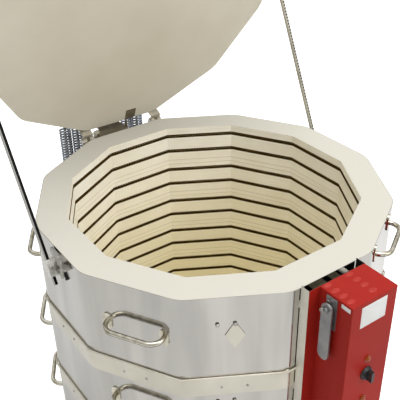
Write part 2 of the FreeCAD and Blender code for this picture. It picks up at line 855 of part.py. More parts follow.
def spring_coil(x):
    """One close-wound spring as its outer sleeve, with an eye below and a plug on top."""
    low = SPRING_EYE_LONG
    high = spring_length() - COIL_TOP_GAP
    body = Part.makeCylinder(SPRING_RADIUS, high - low, Vec(x, 0, low))
    body = body.cut(Part.makeCylinder(SPRING_RADIUS - SPRING_WIRE, high - low - 2 * PLUG_THICK, Vec(x, 0, low + PLUG_THICK)))
    body = body.cut(Part.makeCylinder(BOLT_RADIUS + 0.5, high, Vec(x, 0, low + PLUG_THICK)))
    hole = ANCHOR_RADIUS + 0.3
    start = Vec(x - EYE_THICK / 2, 0, 0)
    end = Vec(x + EYE_THICK / 2, 0, 0)
    eye = rod(start, end, hole + EYE_WALL)
    neck = Part.makeCylinder(SPRING_WIRE, low - hole, Vec(x, 0, hole + 1))
    whole = fused([body, neck, eye]).cut(rod(start - ACROSS * 3, end + ACROSS * 3, hole))
    return along_spring(whole)


def spring_coils():
    """The four counterbalance springs."""
    return group([spring_coil(x) for x in SPRING_X])


def eye_bolt(x):
    """An eye on the yoke whose shank hangs down inside a spring, with a nut at its end."""
    high = spring_length()
    low = high - COIL_TOP_GAP - BOLT_IN_COIL
    hole = YOKE_RADIUS + RUNNING
    start = Vec(x - EYE_THICK / 2, 0, high)
    end = Vec(x + EYE_THICK / 2, 0, high)
    eye = rod(start, end, hole + EYE_WALL)
    shank = Part.makeCylinder(BOLT_RADIUS, high - low - hole, Vec(x, 0, low))
    nut = Part.makeCylinder(SPRING_RADIUS - SPRING_WIRE - 3, 8, Vec(x, 0, low))
    whole = fused([shank, nut, eye]).cut(rod(start - ACROSS, end + ACROSS, hole))
    return along_spring(whole)


def eye_bolts():
    """The four eye bolts."""
    return group([eye_bolt(x) for x in SPRING_X])


# Stays

def stay_line(sign):
    """Ends of a stay's line with the lid open: clamp pivot and lid pin, and its unit direction."""
    low = Vec(0, STAY_PIVOT_Y[sign], RIM - STAY_PIVOT_DROP)
    high = opened_point(STAY_PIN_CLOSED)
    return low, high, (high - low).normalize()


def along_stay(shape, sign):
    """Place a shape made upright at the origin on the stay line, on the left or right side."""
    low, high, line = stay_line(sign)
    turned = shape.copy()
    turned.rotate(Vec(0, 0, 0), ACROSS, -math.degrees(math.atan2(line.y, line.z)))
    turned.translate(Vec(ROD_X, low.y, low.z))
    if sign < 0:
        turned = turned.mirror(Vec(0, 0, 0), ACROSS)
    return turned


EYE_RADIUS = 13.0
PIVOT_BOLT = 5.0
BOLT_HEAD = 9.0
BOLT_HEAD_TALL = 6.0


def stay_rod(sign):
    """The long round rod with a flat eye at the lid, and the shoulder bolt through the eye."""
    low, high, line = stay_line(sign)
    reach = (high - low).Length
    bar = Part.makeCylinder(ROD_RADIUS, reach + ROD_TAIL - EYE_RADIUS + 3, Vec(0, 0, -ROD_TAIL))
    eye = rod(Vec(-EYE_HALF, 0, reach), Vec(EYE_HALF, 0, reach), EYE_RADIUS)
    bore = rod(Vec(-EYE_HALF - 1, 0, reach), Vec(EYE_HALF + 1, 0, reach), PIVOT_BOLT + RUNNING)
    bar = fused([bar, eye]).cut(bore)
    shank = rod(Vec(-EYE_HALF, 0, reach), Vec(EYE_HALF + SIDE_PLAY, 0, reach), PIVOT_BOLT)
    head = rod(Vec(EYE_HALF + SIDE_PLAY, 0, reach), Vec(EYE_HALF + SIDE_PLAY + BOLT_HEAD_TALL, 0, reach), BOLT_HEAD)
    bolt = shank.fuse(head).removeSplitter()
    return group([along_stay(bar, sign), along_stay(bolt, sign)])


STAY_PLATE = 3.0
SWIVEL_RADIUS = 8.0
SWIVEL_HEAD = 10.0
SWIVEL_LIP = 1.6
HEAD_PLAY = 0.05


def stay_block(sign):
    """The clamp block that the rod slides through, rounded at its lower end. A headed spigot on its
    back is held in the mounting plate, so that the block can swivel with the rod."""
    inner = -(ROD_OFF - STAY_PLATE - SIDE_PLAY)
    neck_end = -(ROD_OFF - STAY_PLATE) - SWIVEL_LIP - HEAD_PLAY
    neck = rod(Vec(inner + 1, 0, 0), Vec(neck_end, 0, 0), SWIVEL_RADIUS)
    head = rod(Vec(neck_end, 0, 0), Vec(-ROD_OFF + 0.15, 0, 0), SWIVEL_HEAD)
    half = BLOCK_LONG / 2
    body = box(inner, -BLOCK_FRONT, -half, BLOCK_OUT, BLOCK_BACK, half)
    low_edges = [e for e in body.Edges
                 if e.BoundBox.XLength > 1 and e.BoundBox.ZMax < -half + 1]
    body = fused([body.makeFillet(8.0, low_edges), neck, head])
    body = body.cut(Part.makeCylinder(ROD_RADIUS + RUNNING, BLOCK_LONG + 2, Vec(0, 0, -half - 1)))
    screw_hole = rod(Vec(0, -BLOCK_FRONT - 1, 0), Vec(0, -ROD_RADIUS - 1, 0), SCREW_RADIUS + RUNNING)
    return along_stay(body.cut(screw_hole), sign)


def wing_screw(sign):
    """The wing screw that locks the rod in its block."""
    tip = -ROD_RADIUS - 1.5
    shank = rod(Vec(0, tip, 0), Vec(0, -WING_REACH, 0), SCREW_RADIUS)
    hub = rod(Vec(0, -WING_REACH + 8, 0), Vec(0, -WING_REACH - 6, 0), SCREW_RADIUS + 3)
    half = ROD_OFF - WING_SWEEP_GAP
    wings = [shank, hub]
    for z in (-1, 1):
        wing = plate(
            [
                Vec(-1.5, -WING_REACH + 6, z * 4),
                Vec(-1.5, -WING_REACH + 2, z * (half - 2)),
                Vec(-1.5, -WING_REACH - 10, z * half),
                Vec(-1.5, -WING_REACH - 6, z * 4),
            ],
            Vec(3, 0, 0),
        )
        wings.append(wing)
    return along_stay(fused(wings), sign)


BRACKET_FRONT = 33.0
BRACKET_BACK = 12.5
BRACKET_LOW = 18.0
BRACKET_DROP = 14.0


def stay_brackets():
    """A plate under the rim on each side, with the stepped hole that its clamp block turns in."""
    pieces = []
    for sign in (-1, 1):
        low, _, _ = stay_line(sign)
        base = box(JACKET, low.y - BRACKET_FRONT, low.z - BRACKET_LOW, JACKET + STAY_PLATE, low.y + BRACKET_BACK, RIM - BRACKET_DROP)
        screws = [dome_screw(Vec(JACKET + STAY_PLATE, low.y + y, RIM - BRACKET_DROP - SCREW_HEAD - 1.5), PIVOT_SCREW_RADIUS,
                             SCREW_HEAD, SCREW_HEAD_TALL, 0.01) for y in (SCREW_HEAD + 1.5 - BRACKET_FRONT, BRACKET_BACK - SCREW_HEAD - 1.5)]
        bracket = fused([base] + screws)
        centre = Vec(JACKET, low.y, low.z)
        lip = ACROSS * (STAY_PLATE - SWIVEL_LIP)
        bracket = bracket.cut(rod(centre - ACROSS, centre + lip, SWIVEL_HEAD + RUNNING))
        bracket = bracket.cut(rod(centre, centre + ACROSS * 4, SWIVEL_RADIUS + RUNNING))
        if sign < 0:
            bracket = bracket.mirror(Vec(0, 0, 0), ACROSS)
        pieces.append(bracket)
    return group(pieces)


# Control box, made in world directions on the -Y side

def box_span():
    """Bottom and top of the control box."""
    top = RIM + BOX_RISE
    return top - BOX_TALL, top


def heat_shield():
    """The stainless channel that stands the control box off the hot jacket."""
    low, high = box_span()
    left = -BOX_HALF - BOX_FLANGE
    face = -BACK_OF_BOX
    web = box(left, face, low, BOX_HALF, face + SHIELD_SHEET, high)
    left_wall = box(left, face, low, left + SHIELD_SHEET, -JACKET - SHEET * 2 - 0.2, high)
    right_wall = box(BOX_HALF - SHIELD_SHEET, face, low, BOX_HALF, -JACKET - SHEET * 2 - 0.2, high)
    feet = []
    for x, step in ((left, 12), (BOX_HALF, -12)):
        for z in (low + 30, (low + high) / 2, high - 60):
            feet.append(box(min(x, x + step), -JACKET - 1, z, max(x, x + step), -JACKET, z + 20))
            feet.append(box(min(x, x + step / 12), -JACKET - SHEET * 2 - 0.3, z, max(x, x + step / 12), -JACKET, z + 20))
    shield = fused([web, left_wall, right_wall] + feet)
    return cut_terminals(shield)


def cut_terminals(sheet):
    """Clear the element terminals through a sheet of the control box."""
    for section in range(SECTIONS):
        for x, z in terminal_places(section):
            hole = rod(Vec(x, -JACKET - 5, z), Vec(x, -BACK_OF_BOX - 10, z), INSULATOR_RADIUS + 1)
            sheet = sheet.cut(hole)
    return sheet


def box_back():
    """The red back plate, wider than the hood on the left."""
    low, high = box_span()
    sheet = box(-BOX_HALF - BOX_FLANGE, -BACK_OF_BOX - BOX_SHEET, low, BOX_HALF, -BACK_OF_BOX, high)
    return cut_terminals(sheet)


def switch_places():
    """Heights of the three heat switches."""
    _, high = box_span()
    return [high - drop for drop in KNOB_DROPS]


def lever_pivot():
    """Where the isolator's spindle leaves the hood's left side: y and z."""
    front = -BACK_OF_BOX - BOX_DEEP
    _, high = box_span()
    return front + BOX_DEEP - LEVER_Y_BACK, high - LEVER_DROP


GLAND_RADIUS = 12.0


def box_hood():
    """The red sheet hood over the controls, open at the back."""
    low, high = box_span()
    back = -BACK_OF_BOX - BOX_SHEET
    front = -BACK_OF_BOX - BOX_DEEP
    outer = box(-BOX_HALF, front, low, BOX_HALF, back, high)
    edges = [e for e in outer.Edges if e.BoundBox.YMax < front + 0.01 or
             (e.BoundBox.YLength > 1 and e.BoundBox.ZMin > high - 1)]
    outer = outer.makeFillet(2.0, edges)
    inner = box(-BOX_HALF + BOX_SHEET, front + BOX_SHEET, low + BOX_SHEET, BOX_HALF - BOX_SHEET, back + 1, high - BOX_SHEET)
    hood = outer.cut(inner)
    for z in switch_places():
        hood = hood.cut(rod(Vec(0, front - 1, z), Vec(0, front + 5, z), SPINDLE_RADIUS + 2))
        hood = hood.cut(rod(Vec(0, front - 1, z + LAMP_LIFT), Vec(0, front + 5, z + LAMP_LIFT), 5.0))
    y, z = lever_pivot()
    hood = hood.cut(rod(Vec(-BOX_HALF - 1, y, z), Vec(-BOX_HALF + 5, y, z), 7.0))
    hood = hood.cut(rod(Vec(0, front + BOX_DEEP / 2, low - 1), Vec(0, front + BOX_DEEP / 2, low + 5), GLAND_RADIUS - 2))
    return hood


def knob(index):
    """A heat switch knob with a raised bar grip, on its spindle."""
    z = switch_places()[index]
    front = -BACK_OF_BOX - BOX_DEEP
    skirt = Part.makeCone(KNOB_RADIUS, KNOB_RADIUS - 3, 7, Vec(0, front - 1.5, z), Vec(0, -1, 0))
    grip = box(-4, front - 1.5 - KNOB_DEEP, z - KNOB_RADIUS + 3, 4, front - 5, z + KNOB_RADIUS - 3)
    spindle = rod(Vec(0, front - 5, z), Vec(0, front + 16, z), SPINDLE_RADIUS)
    return fused([skirt, grip, spindle])


def heat_switches():
    """The three rotary switch bodies behind the hood's front."""
    front = -BACK_OF_BOX - BOX_DEEP + BOX_SHEET
    bodies = []
    for z in switch_places():
        body = box(-22, front, z - 20, 22, front + 42, z + 20)
        bodies.append(body.cut(rod(Vec(0, front - 1, z), Vec(0, front + 18, z), SPINDLE_RADIUS + RUNNING)))
    return group(bodies)


def pilot_lamps():
    """A domed lamp above each knob."""
    front = -BACK_OF_BOX - BOX_DEEP
    lamps = []
    for height in switch_places():
        z = height + LAMP_LIFT
        barrel = rod(Vec(0, front + 18, z), Vec(0, front - 2, z), 4.9)
        bezel = rod(Vec(0, front, z), Vec(0, front - 2, z), 8.0)
        lens = Part.makeSphere(6.0, Vec(0, front - 2, z), Vec(0, -1, 0), 0, 90)
        lamps.append(fused([barrel, bezel, lens]))
    return group(lamps)


def isolator_plate():
    """The dark plate behind the isolator lever, with its fixing screw."""
    y, z = lever_pivot()
    x = -BOX_HALF
    base = box(x - 2.5, y - 15, z - 55, x, y + 15, z + 24)
    base = base.cut(rod(Vec(x - 4, y, z), Vec(x + 1, y, z), 6.2))
    head = rod(Vec(x - 2.5, y, z + 16), Vec(x - 5, y, z + 16), 5.0)
    return fused([base, head])


def isolator_lever():
    """The flat steel lever with round ends, hanging from the isolator's spindle."""
    y, z = lever_pivot()
    x = -BOX_HALF - LEVER_STAND
    half = LEVER_WIDE / 2
    straight = LEVER_LONG - LEVER_WIDE
    bar = box(x - 4, y - half, z - straight, x, y + half, z)
    ends = [rod(Vec(x - 4, y, z + dz), Vec(x, y, z + dz), half) for dz in (0.0, -straight)]
    spindle = rod(Vec(x, y, z), Vec(-BOX_HALF + 22, y, z), 6.0)
    head = rod(Vec(x - 4, y, z), Vec(x - 9, y, z), 7.0)
    return fused([bar] + ends + [spindle, head])


def isolator_switch():
    """The isolator's body inside the hood."""
    y, z = lever_pivot()
    inner = -BOX_HALF + BOX_SHEET
    body = box(inner, y - 26, z - 70, inner + 46, y + 26, z + 24)
    return body.cut(rod(Vec(inner - 1, y, z), Vec(inner + 30, y, z), 6.0 + RUNNING))


def insulators():
    """Ceramic tubes that carry the element ends through the wall and the shield."""
    tubes = []
    for section in range(SECTIONS):
        for x, z in terminal_places(section):
            start = Vec(x, -(CHAMBER_APOTHEM + GROOVE_DEEP + 1), z)
            end = Vec(x, -BACK_OF_BOX - 6, z)
            tube = rod(start, end, INSULATOR_RADIUS)
            tubes.append(tube.cut(rod(start, end, PIN_ROD + RUNNING)))
    return group(tubes)


def terminals():
    """Steel pins on the element ends, each with a nut and washer in the control box."""
    pins = []
    for section in range(SECTIONS):
        for x, z in terminal_places(section):
            inner = Vec(x, -(CHAMBER_APOTHEM + GROOVE_DEEP), z)
            outer = Vec(x, -BACK_OF_BOX - 26, z)
            pin = rod(inner, outer, PIN_ROD)
            nut = rod(Vec(x, -BACK_OF_BOX - 7, z), Vec(x, -BACK_OF_BOX - 14, z), 6.0)
            pins.append(fused([pin, nut]))
    return group(pins)


def terminal_block():
    """The supply terminal block on the back plate."""
    low, _ = box_span()
    back = -BACK_OF_BOX - BOX_SHEET
    base = box(-40, back - 24, low + 8, 40, back, low + 38)
    for i in range(4):
        x = -30 + 20 * i
        base = base.cut(rod(Vec(x, back - 25, low + 23), Vec(x, back - 12, low + 23), 4.0))
    return base


def inlet_gland():
    """The supply gland in the hood's underside."""
    low, _ = box_span()
    y = -BACK_OF_BOX - BOX_DEEP / 2
    body = Part.makeCylinder(GLAND_RADIUS - 2.1, 14, Vec(0, y, low - 8))
    flange = Part.makeCylinder(GLAND_RADIUS + 3, 8, Vec(0, y, low - 8))
    nut = Part.makeCylinder(GLAND_RADIUS + 1, 4, Vec(0, y, low + BOX_SHEET))
    mouth = Part.makeCone(GLAND_RADIUS - 1, GLAND_RADIUS + 1, 10, Vec(0, y, low - 18))
    whole = fused([body, flange, nut, mouth])
    return whole.cut(Part.makeCylinder(6.5, 60, Vec(0, y, low - 30)))


def box_hangers():
    """Two steel brackets that carry the box on the jacket, seen in the gap behind it."""
    _, high = box_span()
    face = -BACK_OF_BOX + SHIELD_SHEET
    hangers = []
    for x0, x1 in ((-62.0, -22.0), (-6.0, 18.0)):
        shelf = box(x0, face, high - 26, x1, -JACKET, high - 24)
        down = box(x0, -JACKET - 2, high - 60, x1, -JACKET, high - 24)
        up = box(x0, face, high - 26, x1, face + 2, high - 6)
        hangers.append(fused([shelf, down, up]))
    return group(hangers)


def box_screws():
    """Four screws that hold the hood's sides to the back plate's edge blocks."""
    low, high = box_span()
    y = -BACK_OF_BOX - 12
    pieces = []
    for z in (low + 40, high - 90):
        for sign in (-1, 1):
            screw = dome_screw(Vec(BOX_HALF, 0, z), PIVOT_SCREW_RADIUS, SCREW_HEAD, SCREW_HEAD_TALL, 0.01)
            screw.translate(Vec(0, y, 0))
            if sign < 0:
                screw = screw.mirror(Vec(0, 0, 0), ACROSS)
            pieces.append(screw)
    return group(pieces)


def all_parts():
    """Every sub-part by name."""
    names = ("top", "middle", "bottom")
    parts = {}
    for section, name in enumerate(names):
        parts[name + "_bricks"] = brick_section(section)
        parts[name + "_element"] = element(section)
        parts[name + "_jacket"] = jacket(section)
        parts[name + "_handles"] = handles(section)
        parts[name + "_peephole_cover"] = peephole_cover(section)
        parts[name + "_knob"] = knob(section)
    parts["locating_bands"] = group([locating_band(1), locating_band(2)])
    parts["floor_slab"] = floor_slab()
    parts["floor_pan"] = floor_pan()
    parts["stand_frame"] = stand_frame()
    parts["stand_legs"] = stand_legs()
    parts["stand_feet"] = stand_feet()
    parts["peephole_screws"] = peephole_screws()
    parts["lid_slab"] = lid_slab()
    parts["lid_band"] = lid_band()
    parts["lid_handle"] = lid_handle()
    parts["lid_hinge_straps"] = hinge_straps()
    parts["lid_lever_plates"] = lever_plates()
    parts["spring_yoke"] = spring_yoke()
    parts["lid_stay_studs"] = stay_studs()
    parts["hinge_bracket"] = hinge_bracket()
    parts["hinge_pins"] = hinge_pins()
    parts["lid_edge_clip"] = lid_clip()
    parts["spring_anchor"] = spring_anchor()
    parts["springs"] = spring_coils()
    parts["spring_eye_bolts"] = eye_bolts()
    parts["stay_brackets"] = stay_brackets()
    for sign, name in ((-1, "left"), (1, "right")):
        parts[name + "_stay_rod"] = stay_rod(sign)
        parts[name + "_stay_block"] = stay_block(sign)
        parts[name + "_wing_screw"] = wing_screw(sign)
    parts["heat_shield"] = heat_shield()
    parts["box_back_plate"] = box_back()
    parts["box_hood"] = box_hood()
    parts["box_hangers"] = box_hangers()
    parts["box_screws"] = box_screws()
    parts["heat_switches"] = heat_switches()
    parts["pilot_lamps"] = pilot_lamps()
    parts["isolator_plate"] = isolator_plate()
    parts["isolator_lever"] = isolator_lever()
    parts["isolator_switch"] = isolator_switch()
    parts["terminal_insulators"] = insulators()
    parts["element_terminals"] = terminals()
    parts["terminal_block"] = terminal_block()
    parts["inlet_gland"] = inlet_gland()
    return parts


def centring(parts):
    """The move that puts the origin under the middle of the whole object's outline."""
    whole = FreeCAD.BoundBox()
    for shape in parts.values():
        whole.add(shape.BoundBox)
    return Vec(-(whole.XMin + whole.XMax) / 2, -(whole.YMin + whole.YMax) / 2, 0)


def main():
    """Build every sub-part and write it to its own file."""
    os.makedirs("parts", exist_ok=True)
    parts = all_parts()
    move = centring(parts)
    print("axis of the kiln lies at", move.x, move.y)
    for name, shape in parts.items():
        shape.translate(move)
        shape.exportStep("parts/" + name + ".step")
        print(name, len(shape.Solids), "solids", round(shape.Volume / 1000, 1), "cm3", shape.isValid())


if __name__ == "__main__":
    main()
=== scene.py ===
"""Looks of a twelve-sided top-loading ceramic kiln with its lid open, built around the CAD frame.

Every length is in metres, in the frame of the CAD model: +Z is up, the switch box faces -Y and the
lid's hinge is at +Y. Sizes written in millimetres are turned by the constant MM.
"""

import logging
import math
from dataclasses import dataclass, field
from enum import Enum

import bpy
from mathutils import Matrix, Vector


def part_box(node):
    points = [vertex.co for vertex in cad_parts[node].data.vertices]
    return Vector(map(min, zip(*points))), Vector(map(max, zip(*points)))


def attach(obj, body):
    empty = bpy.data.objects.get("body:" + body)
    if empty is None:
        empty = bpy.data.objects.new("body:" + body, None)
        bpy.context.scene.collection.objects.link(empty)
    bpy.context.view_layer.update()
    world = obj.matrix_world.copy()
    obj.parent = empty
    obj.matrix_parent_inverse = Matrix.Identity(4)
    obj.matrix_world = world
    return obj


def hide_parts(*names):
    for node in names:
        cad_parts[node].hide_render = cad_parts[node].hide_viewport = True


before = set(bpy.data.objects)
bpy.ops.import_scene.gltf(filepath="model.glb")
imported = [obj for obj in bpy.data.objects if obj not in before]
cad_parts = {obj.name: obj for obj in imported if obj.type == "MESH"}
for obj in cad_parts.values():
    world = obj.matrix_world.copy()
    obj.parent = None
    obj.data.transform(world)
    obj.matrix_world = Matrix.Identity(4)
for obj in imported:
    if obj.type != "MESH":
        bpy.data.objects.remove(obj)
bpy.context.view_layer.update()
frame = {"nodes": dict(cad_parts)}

Tree = bpy.types.NodeTree
Socket = bpy.types.NodeSocket
Piece = bpy.types.Object

LOG = logging.getLogger("kiln")
MM = 0.001
SIDES = 12
QUARTER_TURN = math.pi / 2
HALF_SIDE = math.pi / SIDES
SIDE_DEGREES = 360 // SIDES
BOX_SIDE_DEGREES = 270


class Body(Enum):
    """The moving bodies that new pieces ride on."""

    KILN = "kiln"
    LID = "lid"
    SPRINGS = "spring_set"
    PULLS = "spring_pulls"
    ISOLATOR = "isolator"


# Nodes and materials


def linear(code: str) -> tuple[float, float, float, float]:
    """Turns a written sRGB colour into the linear one that shaders use.

    Args:
        code: Six hex digits, such as "c8b49a".

    Returns:
        Red, green, blue and alpha, linear.
    """
    parts = [int(code[i : i + 2], 16) / 255 for i in (0, 2, 4)]
    turned = [p / 12.92 if p <= 0.04045 else ((p + 0.055) / 1.055) ** 2.4 for p in parts]
    return turned[0], turned[1], turned[2], 1.0


def add(tree: Tree, kind: str, inputs: dict | None = None, **settings) -> bpy.types.Node:
    """Adds a node with its settings, input values and links.

    Args:
        tree: The node tree that the node goes into.
        kind: The node's type name.
        inputs: Values or output sockets for the node's inputs, by name or number.
        **settings: The node's own properties.

    Returns:
        The new node.
    """
    made = tree.nodes.new(kind)
    for name, value in settings.items():
        setattr(made, name, value)
    for key, value in (inputs or {}).items():
        if isinstance(value, Socket):
            tree.links.new(value, made.inputs[key])
        else:
            made.inputs[key].default_value = value
    return made


@dataclass(frozen=True)
class Finish:
    """What every finish has: its name, colours, gloss and the scale of its grain."""

    name: str
    colour: str
    shade: str
    roughness: float = 0.5
    metallic: float = 0.0
    grain_mm: float = 1.0
    bump_mm: float = 0.05
    patch_mm: float = 120.0
    stretch: tuple[float, float, float] = (1.0, 1.0, 1.0)
    specular: float = 0.5
    rough_spread: float = 0.25

    def material(self) -> bpy.types.Material:
        """The finish as a material, made once."""
        return bpy.data.materials.get(self.name) or self.build()

    def colour_node(self, tree: Tree, place: Socket) -> Socket:
        """Colour that drifts between two shades in broad patches.

        Args:
            tree: The material's node tree.
            place: The place on the piece.

        Returns:
            The colour socket.
        """
        patch = add(
            tree,
            "ShaderNodeTexNoise",
            {"Vector": place, "Scale": 1 / (self.patch_mm * MM), "Detail": 3.0, "Roughness": 0.55},
        )
        ramp = add(
            tree,
            "ShaderNodeMapRange",
            {"Value": patch.outputs["Fac"], "From Min": 0.35, "From Max": 0.68},
        )
        mix = add(
            tree,
            "ShaderNodeMix",
            {"Factor": ramp.outputs["Result"], 6: linear(self.colour), 7: linear(self.shade)},
            data_type="RGBA",
        )
        return mix.outputs[2]

    def height_node(self, tree: Tree, place: Socket) -> Socket:
        """Height of the surface's grain, from 0 to 1.

        Args:
            tree: The material's node tree.
            place: The place on the piece.

        Returns:
            The height socket.
        """
        grain = add(
            tree,
            "ShaderNodeTexNoise",
            {"Vector": place, "Scale": 1 / (self.grain_mm * MM), "Detail": 2.0, "Roughness": 0.6},
        )
        return grain.outputs["Fac"]

    def rough_node(self, tree: Tree, height: Socket) -> Socket:
        """Roughness that follows the grain.

        Args:
            tree: The material's node tree.
            height: The grain's height.

        Returns:
            The roughness socket.
        """
        spread = self.rough_spread * self.roughness
        mapped = add(
            tree,
            "ShaderNodeMapRange",
            {
                "Value": height,
                "From Min": 0.3,
                "From Max": 0.7,
                "To Min": self.roughness - spread,
                "To Max": self.roughness + spread,
            },
        )
        return mapped.outputs["Result"]

    def build(self) -> bpy.types.Material:
        """Makes the material's nodes.

        Returns:
            The new material.
        """
        made = bpy.data.materials.new(self.name)
        made.use_nodes = True
        tree = made.node_tree
        tree.nodes.clear()
        where = add(tree, "ShaderNodeTexCoord")
        place = add(
            tree, "ShaderNodeMapping", {"Vector": where.outputs["Object"], "Scale": self.stretch}
        )
        height = self.height_node(tree, place.outputs["Vector"])
        bump = add(
            tree, "ShaderNodeBump", {"Height": height, "Strength": 0.6, "Distance": self.bump_mm * MM}
        )
        shader = add(
            tree,
            "ShaderNodeBsdfPrincipled",
            {
                "Base Color": self.colour_node(tree, where.outputs["Object"]),
                "Roughness": self.rough_node(tree, height),
                "Metallic": self.metallic,
                "Normal": bump.outputs["Normal"],
                "Specular IOR Level": self.specular,
            },
        )
        add(tree, "ShaderNodeOutputMaterial", {"Surface": shader.outputs["BSDF"]})
        made.diffuse_color = linear(self.colour)
        return made


@dataclass(frozen=True)
class FireBrick(Finish):
    """Insulating firebrick, sawn from a foamed clay block: matte, full of fine pores."""

    pore_mm: float = 1.6
    pore: str = "a89a78"
    pore_share: float = 0.34

    def colour_node(self, tree: Tree, place: Socket) -> Socket:
        """Broad patches, with the pores a little darker.

        Args:
            tree: The material's node tree.
            place: The place on the piece.

        Returns:
            The colour socket.
        """
        broad = Finish.colour_node(self, tree, place)
        pores = add(
            tree,
            "ShaderNodeTexVoronoi",
            {"Vector": place, "Scale": 1 / (self.pore_mm * MM), "Randomness": 1.0},
        )
        dots = add(
            tree,
            "ShaderNodeMapRange",
            {
                "Value": pores.outputs["Distance"],
                "From Min": 0.08,
                "From Max": 0.24,
                "To Min": self.pore_share,
                "To Max": 0.0,
            },
        )
        mix = add(
            tree,
            "ShaderNodeMix",
            {"Factor": dots.outputs["Result"], 6: broad, 7: linear(self.pore)},
            data_type="RGBA",
        )
        return mix.outputs[2]


@dataclass(frozen=True)
class HotBrick(FireBrick):
    """Firebrick of the chamber's face: painted lighter and yellower towards the floor as painted light,
    with faint saw lines along it, painted shade on the rim's top and brown stain with painted shade in the
    grooves.
    """

    # Colour of the painted light low in the chamber.
    low_wall_painted_light: str = "fff6d2"
    # Grey of the painted shade on the rim's top.
    rim_top_painted_shade: str = "c3c0b5"
    low: float = 0.28
    high: float = 0.963
    rim_skin: float = 0.004
    saw_scale: tuple[float, float, float] = (3.0, 3.0, 260.0)
    saw_share: float = 0.16
    level: float = 0.5
    course_mm: float = 114.3
    joint_mm: float = 0.8
    joint_off_mm: float = 7.0
    joint_share: float = 0.6
    # Brown of the grooves' stain and painted shade.
    groove_stain_and_shade: str = "604a20"
    grooves_mm: tuple[float, float] = (26.0, 76.0)
    groove_half_mm: float = 5.5
    groove_stain_and_shade_edge: float = 1.02

    def colour_node(self, tree: Tree, place: Socket) -> Socket:
        """Brick colour with painted light that turns it lighter and yellower down the wall, under faint
        level lines, with painted shade on the rim's top and in the grooves.

        Args:
            tree: The material's node tree.
            place: The place on the piece.

        Returns:
            The colour socket.
        """
        brick = FireBrick.colour_node(self, tree, place)
        parts = add(tree, "ShaderNodeSeparateXYZ", {"Vector": place})
        depth = add(
            tree,
            "ShaderNodeMapRange",
            {
                "Value": parts.outputs["Z"],
                "From Min": self.high - self.rim_skin,
                "From Max": self.low,
                "To Min": 0.0,
                "To Max": 1.0,
            },
        )
        # Painted light: the wall turns lighter and yellower towards the floor.
        tint = add(
            tree,
            "ShaderNodeMix",
            {"Factor": depth.outputs["Result"], 6: brick, 7: linear(self.low_wall_painted_light)},
            data_type="RGBA",
        )
        lines = add(tree, "ShaderNodeMapping", {"Vector": place, "Scale": self.saw_scale})
        saw = add(
            tree, "ShaderNodeTexNoise", {"Vector": lines.outputs["Vector"], "Scale": 1.0, "Detail": 1.0}
        )
        faint = add(
            tree,
            "ShaderNodeMapRange",
            {
                "Value": saw.outputs["Fac"],
                "From Min": 0.6,
                "From Max": 0.75,
                "To Min": 0.0,
                "To Max": self.saw_share,
            },
        )
        mix = add(
            tree,
            "ShaderNodeMix",
            {"Factor": faint.outputs["Result"], 6: tint.outputs[2], 7: linear(self.pore)},
            data_type="RGBA",
        )
        joint = self.joint_node(tree, parts.outputs["Z"])
        laid = add(
            tree,
            "ShaderNodeMix",
            {"Factor": joint, 6: mix.outputs[2], 7: linear(self.pore)},
            data_type="RGBA",
        )
        facing = add(tree, "ShaderNodeNewGeometry")
        upward = add(tree, "ShaderNodeSeparateXYZ", {"Vector": facing.outputs["True Normal"]})
        tilt = add(tree, "ShaderNodeMath", {0: upward.outputs["Z"]}, operation="ABSOLUTE")
        level = add(
            tree, "ShaderNodeMath", {0: tilt.outputs[0], 1: self.level}, operation="GREATER_THAN"
        )
        under = add(
            tree,
            "ShaderNodeMath",
            {0: parts.outputs["Z"], 1: self.high - self.rim_skin},
            operation="LESS_THAN",
        )
        shelf = add(
            tree, "ShaderNodeMath", {0: level.outputs[0], 1: under.outputs[0]}, operation="MULTIPLY"
        )
        # Brown stain and painted shade on the flat faces under the rim and in the grooves' bands.
        inside = add(
            tree,
            "ShaderNodeMath",
            {0: shelf.outputs[0], 1: self.groove_stain_and_shade_node(tree, parts.outputs["Z"])},
            operation="MAXIMUM",
        )
        groove_stain_and_shade_mix = add(
            tree,
            "ShaderNodeMix",
            {"Factor": inside.outputs[0], 6: laid.outputs[2], 7: linear(self.groove_stain_and_shade)},
            data_type="RGBA",
        )
        # Painted shade: the rim's upward-facing top is greyed.
        flat = add(
            tree, "ShaderNodeMapRange", {"Value": upward.outputs["Z"], "From Min": 0.7, "From Max": 0.9}
        )
        near = add(
            tree,
            "ShaderNodeMath",
            {0: parts.outputs["Z"], 1: self.high - self.rim_skin},
            operation="GREATER_THAN",
        )
        top = add(
            tree,
            "ShaderNodeMath",
            {0: flat.outputs["Result"], 1: near.outputs[0]},
            operation="MULTIPLY",
        )
        rim = add(
            tree,
            "ShaderNodeMix",
            {"Factor": top.outputs[0], 6: groove_stain_and_shade_mix.outputs[2], 7: linear(self.rim_top_painted_shade)},
            data_type="RGBA",
        )
        return rim.outputs[2]

    def groove_stain_and_shade_node(self, tree: Tree, height: Socket) -> Socket:
        """Brown stain and painted shade inside the two element grooves of each course.

        Args:
            tree: The material's node tree.
            height: Height above the floor.

        Returns:
            How strongly the stain and painted shade show.
        """
        drop = add(tree, "ShaderNodeMath", {0: self.high, 1: height}, operation="SUBTRACT")
        course = add(
            tree, "ShaderNodeMath", {0: drop.outputs[0], 1: self.course_mm * MM}, operation="MODULO"
        )
        bands = []
        for groove in self.grooves_mm:
            off = add(
                tree, "ShaderNodeMath", {0: course.outputs[0], 1: groove * MM}, operation="SUBTRACT"
            )
            away = add(tree, "ShaderNodeMath", {0: off.outputs[0]}, operation="ABSOLUTE")
            half = self.groove_half_mm * MM
            bands.append(
                add(
                    tree,
                    "ShaderNodeMapRange",
                    {
                        "Value": away.outputs[0],
                        "From Min": half,
                        "From Max": half * self.groove_stain_and_shade_edge,
                        "To Min": 1.0,
                        "To Max": 0.0,
                    },
                ),
            )
        return add(
            tree,
            "ShaderNodeMath",
            {0: bands[0].outputs["Result"], 1: bands[1].outputs["Result"]},
            operation="MAXIMUM",
        ).outputs[0]

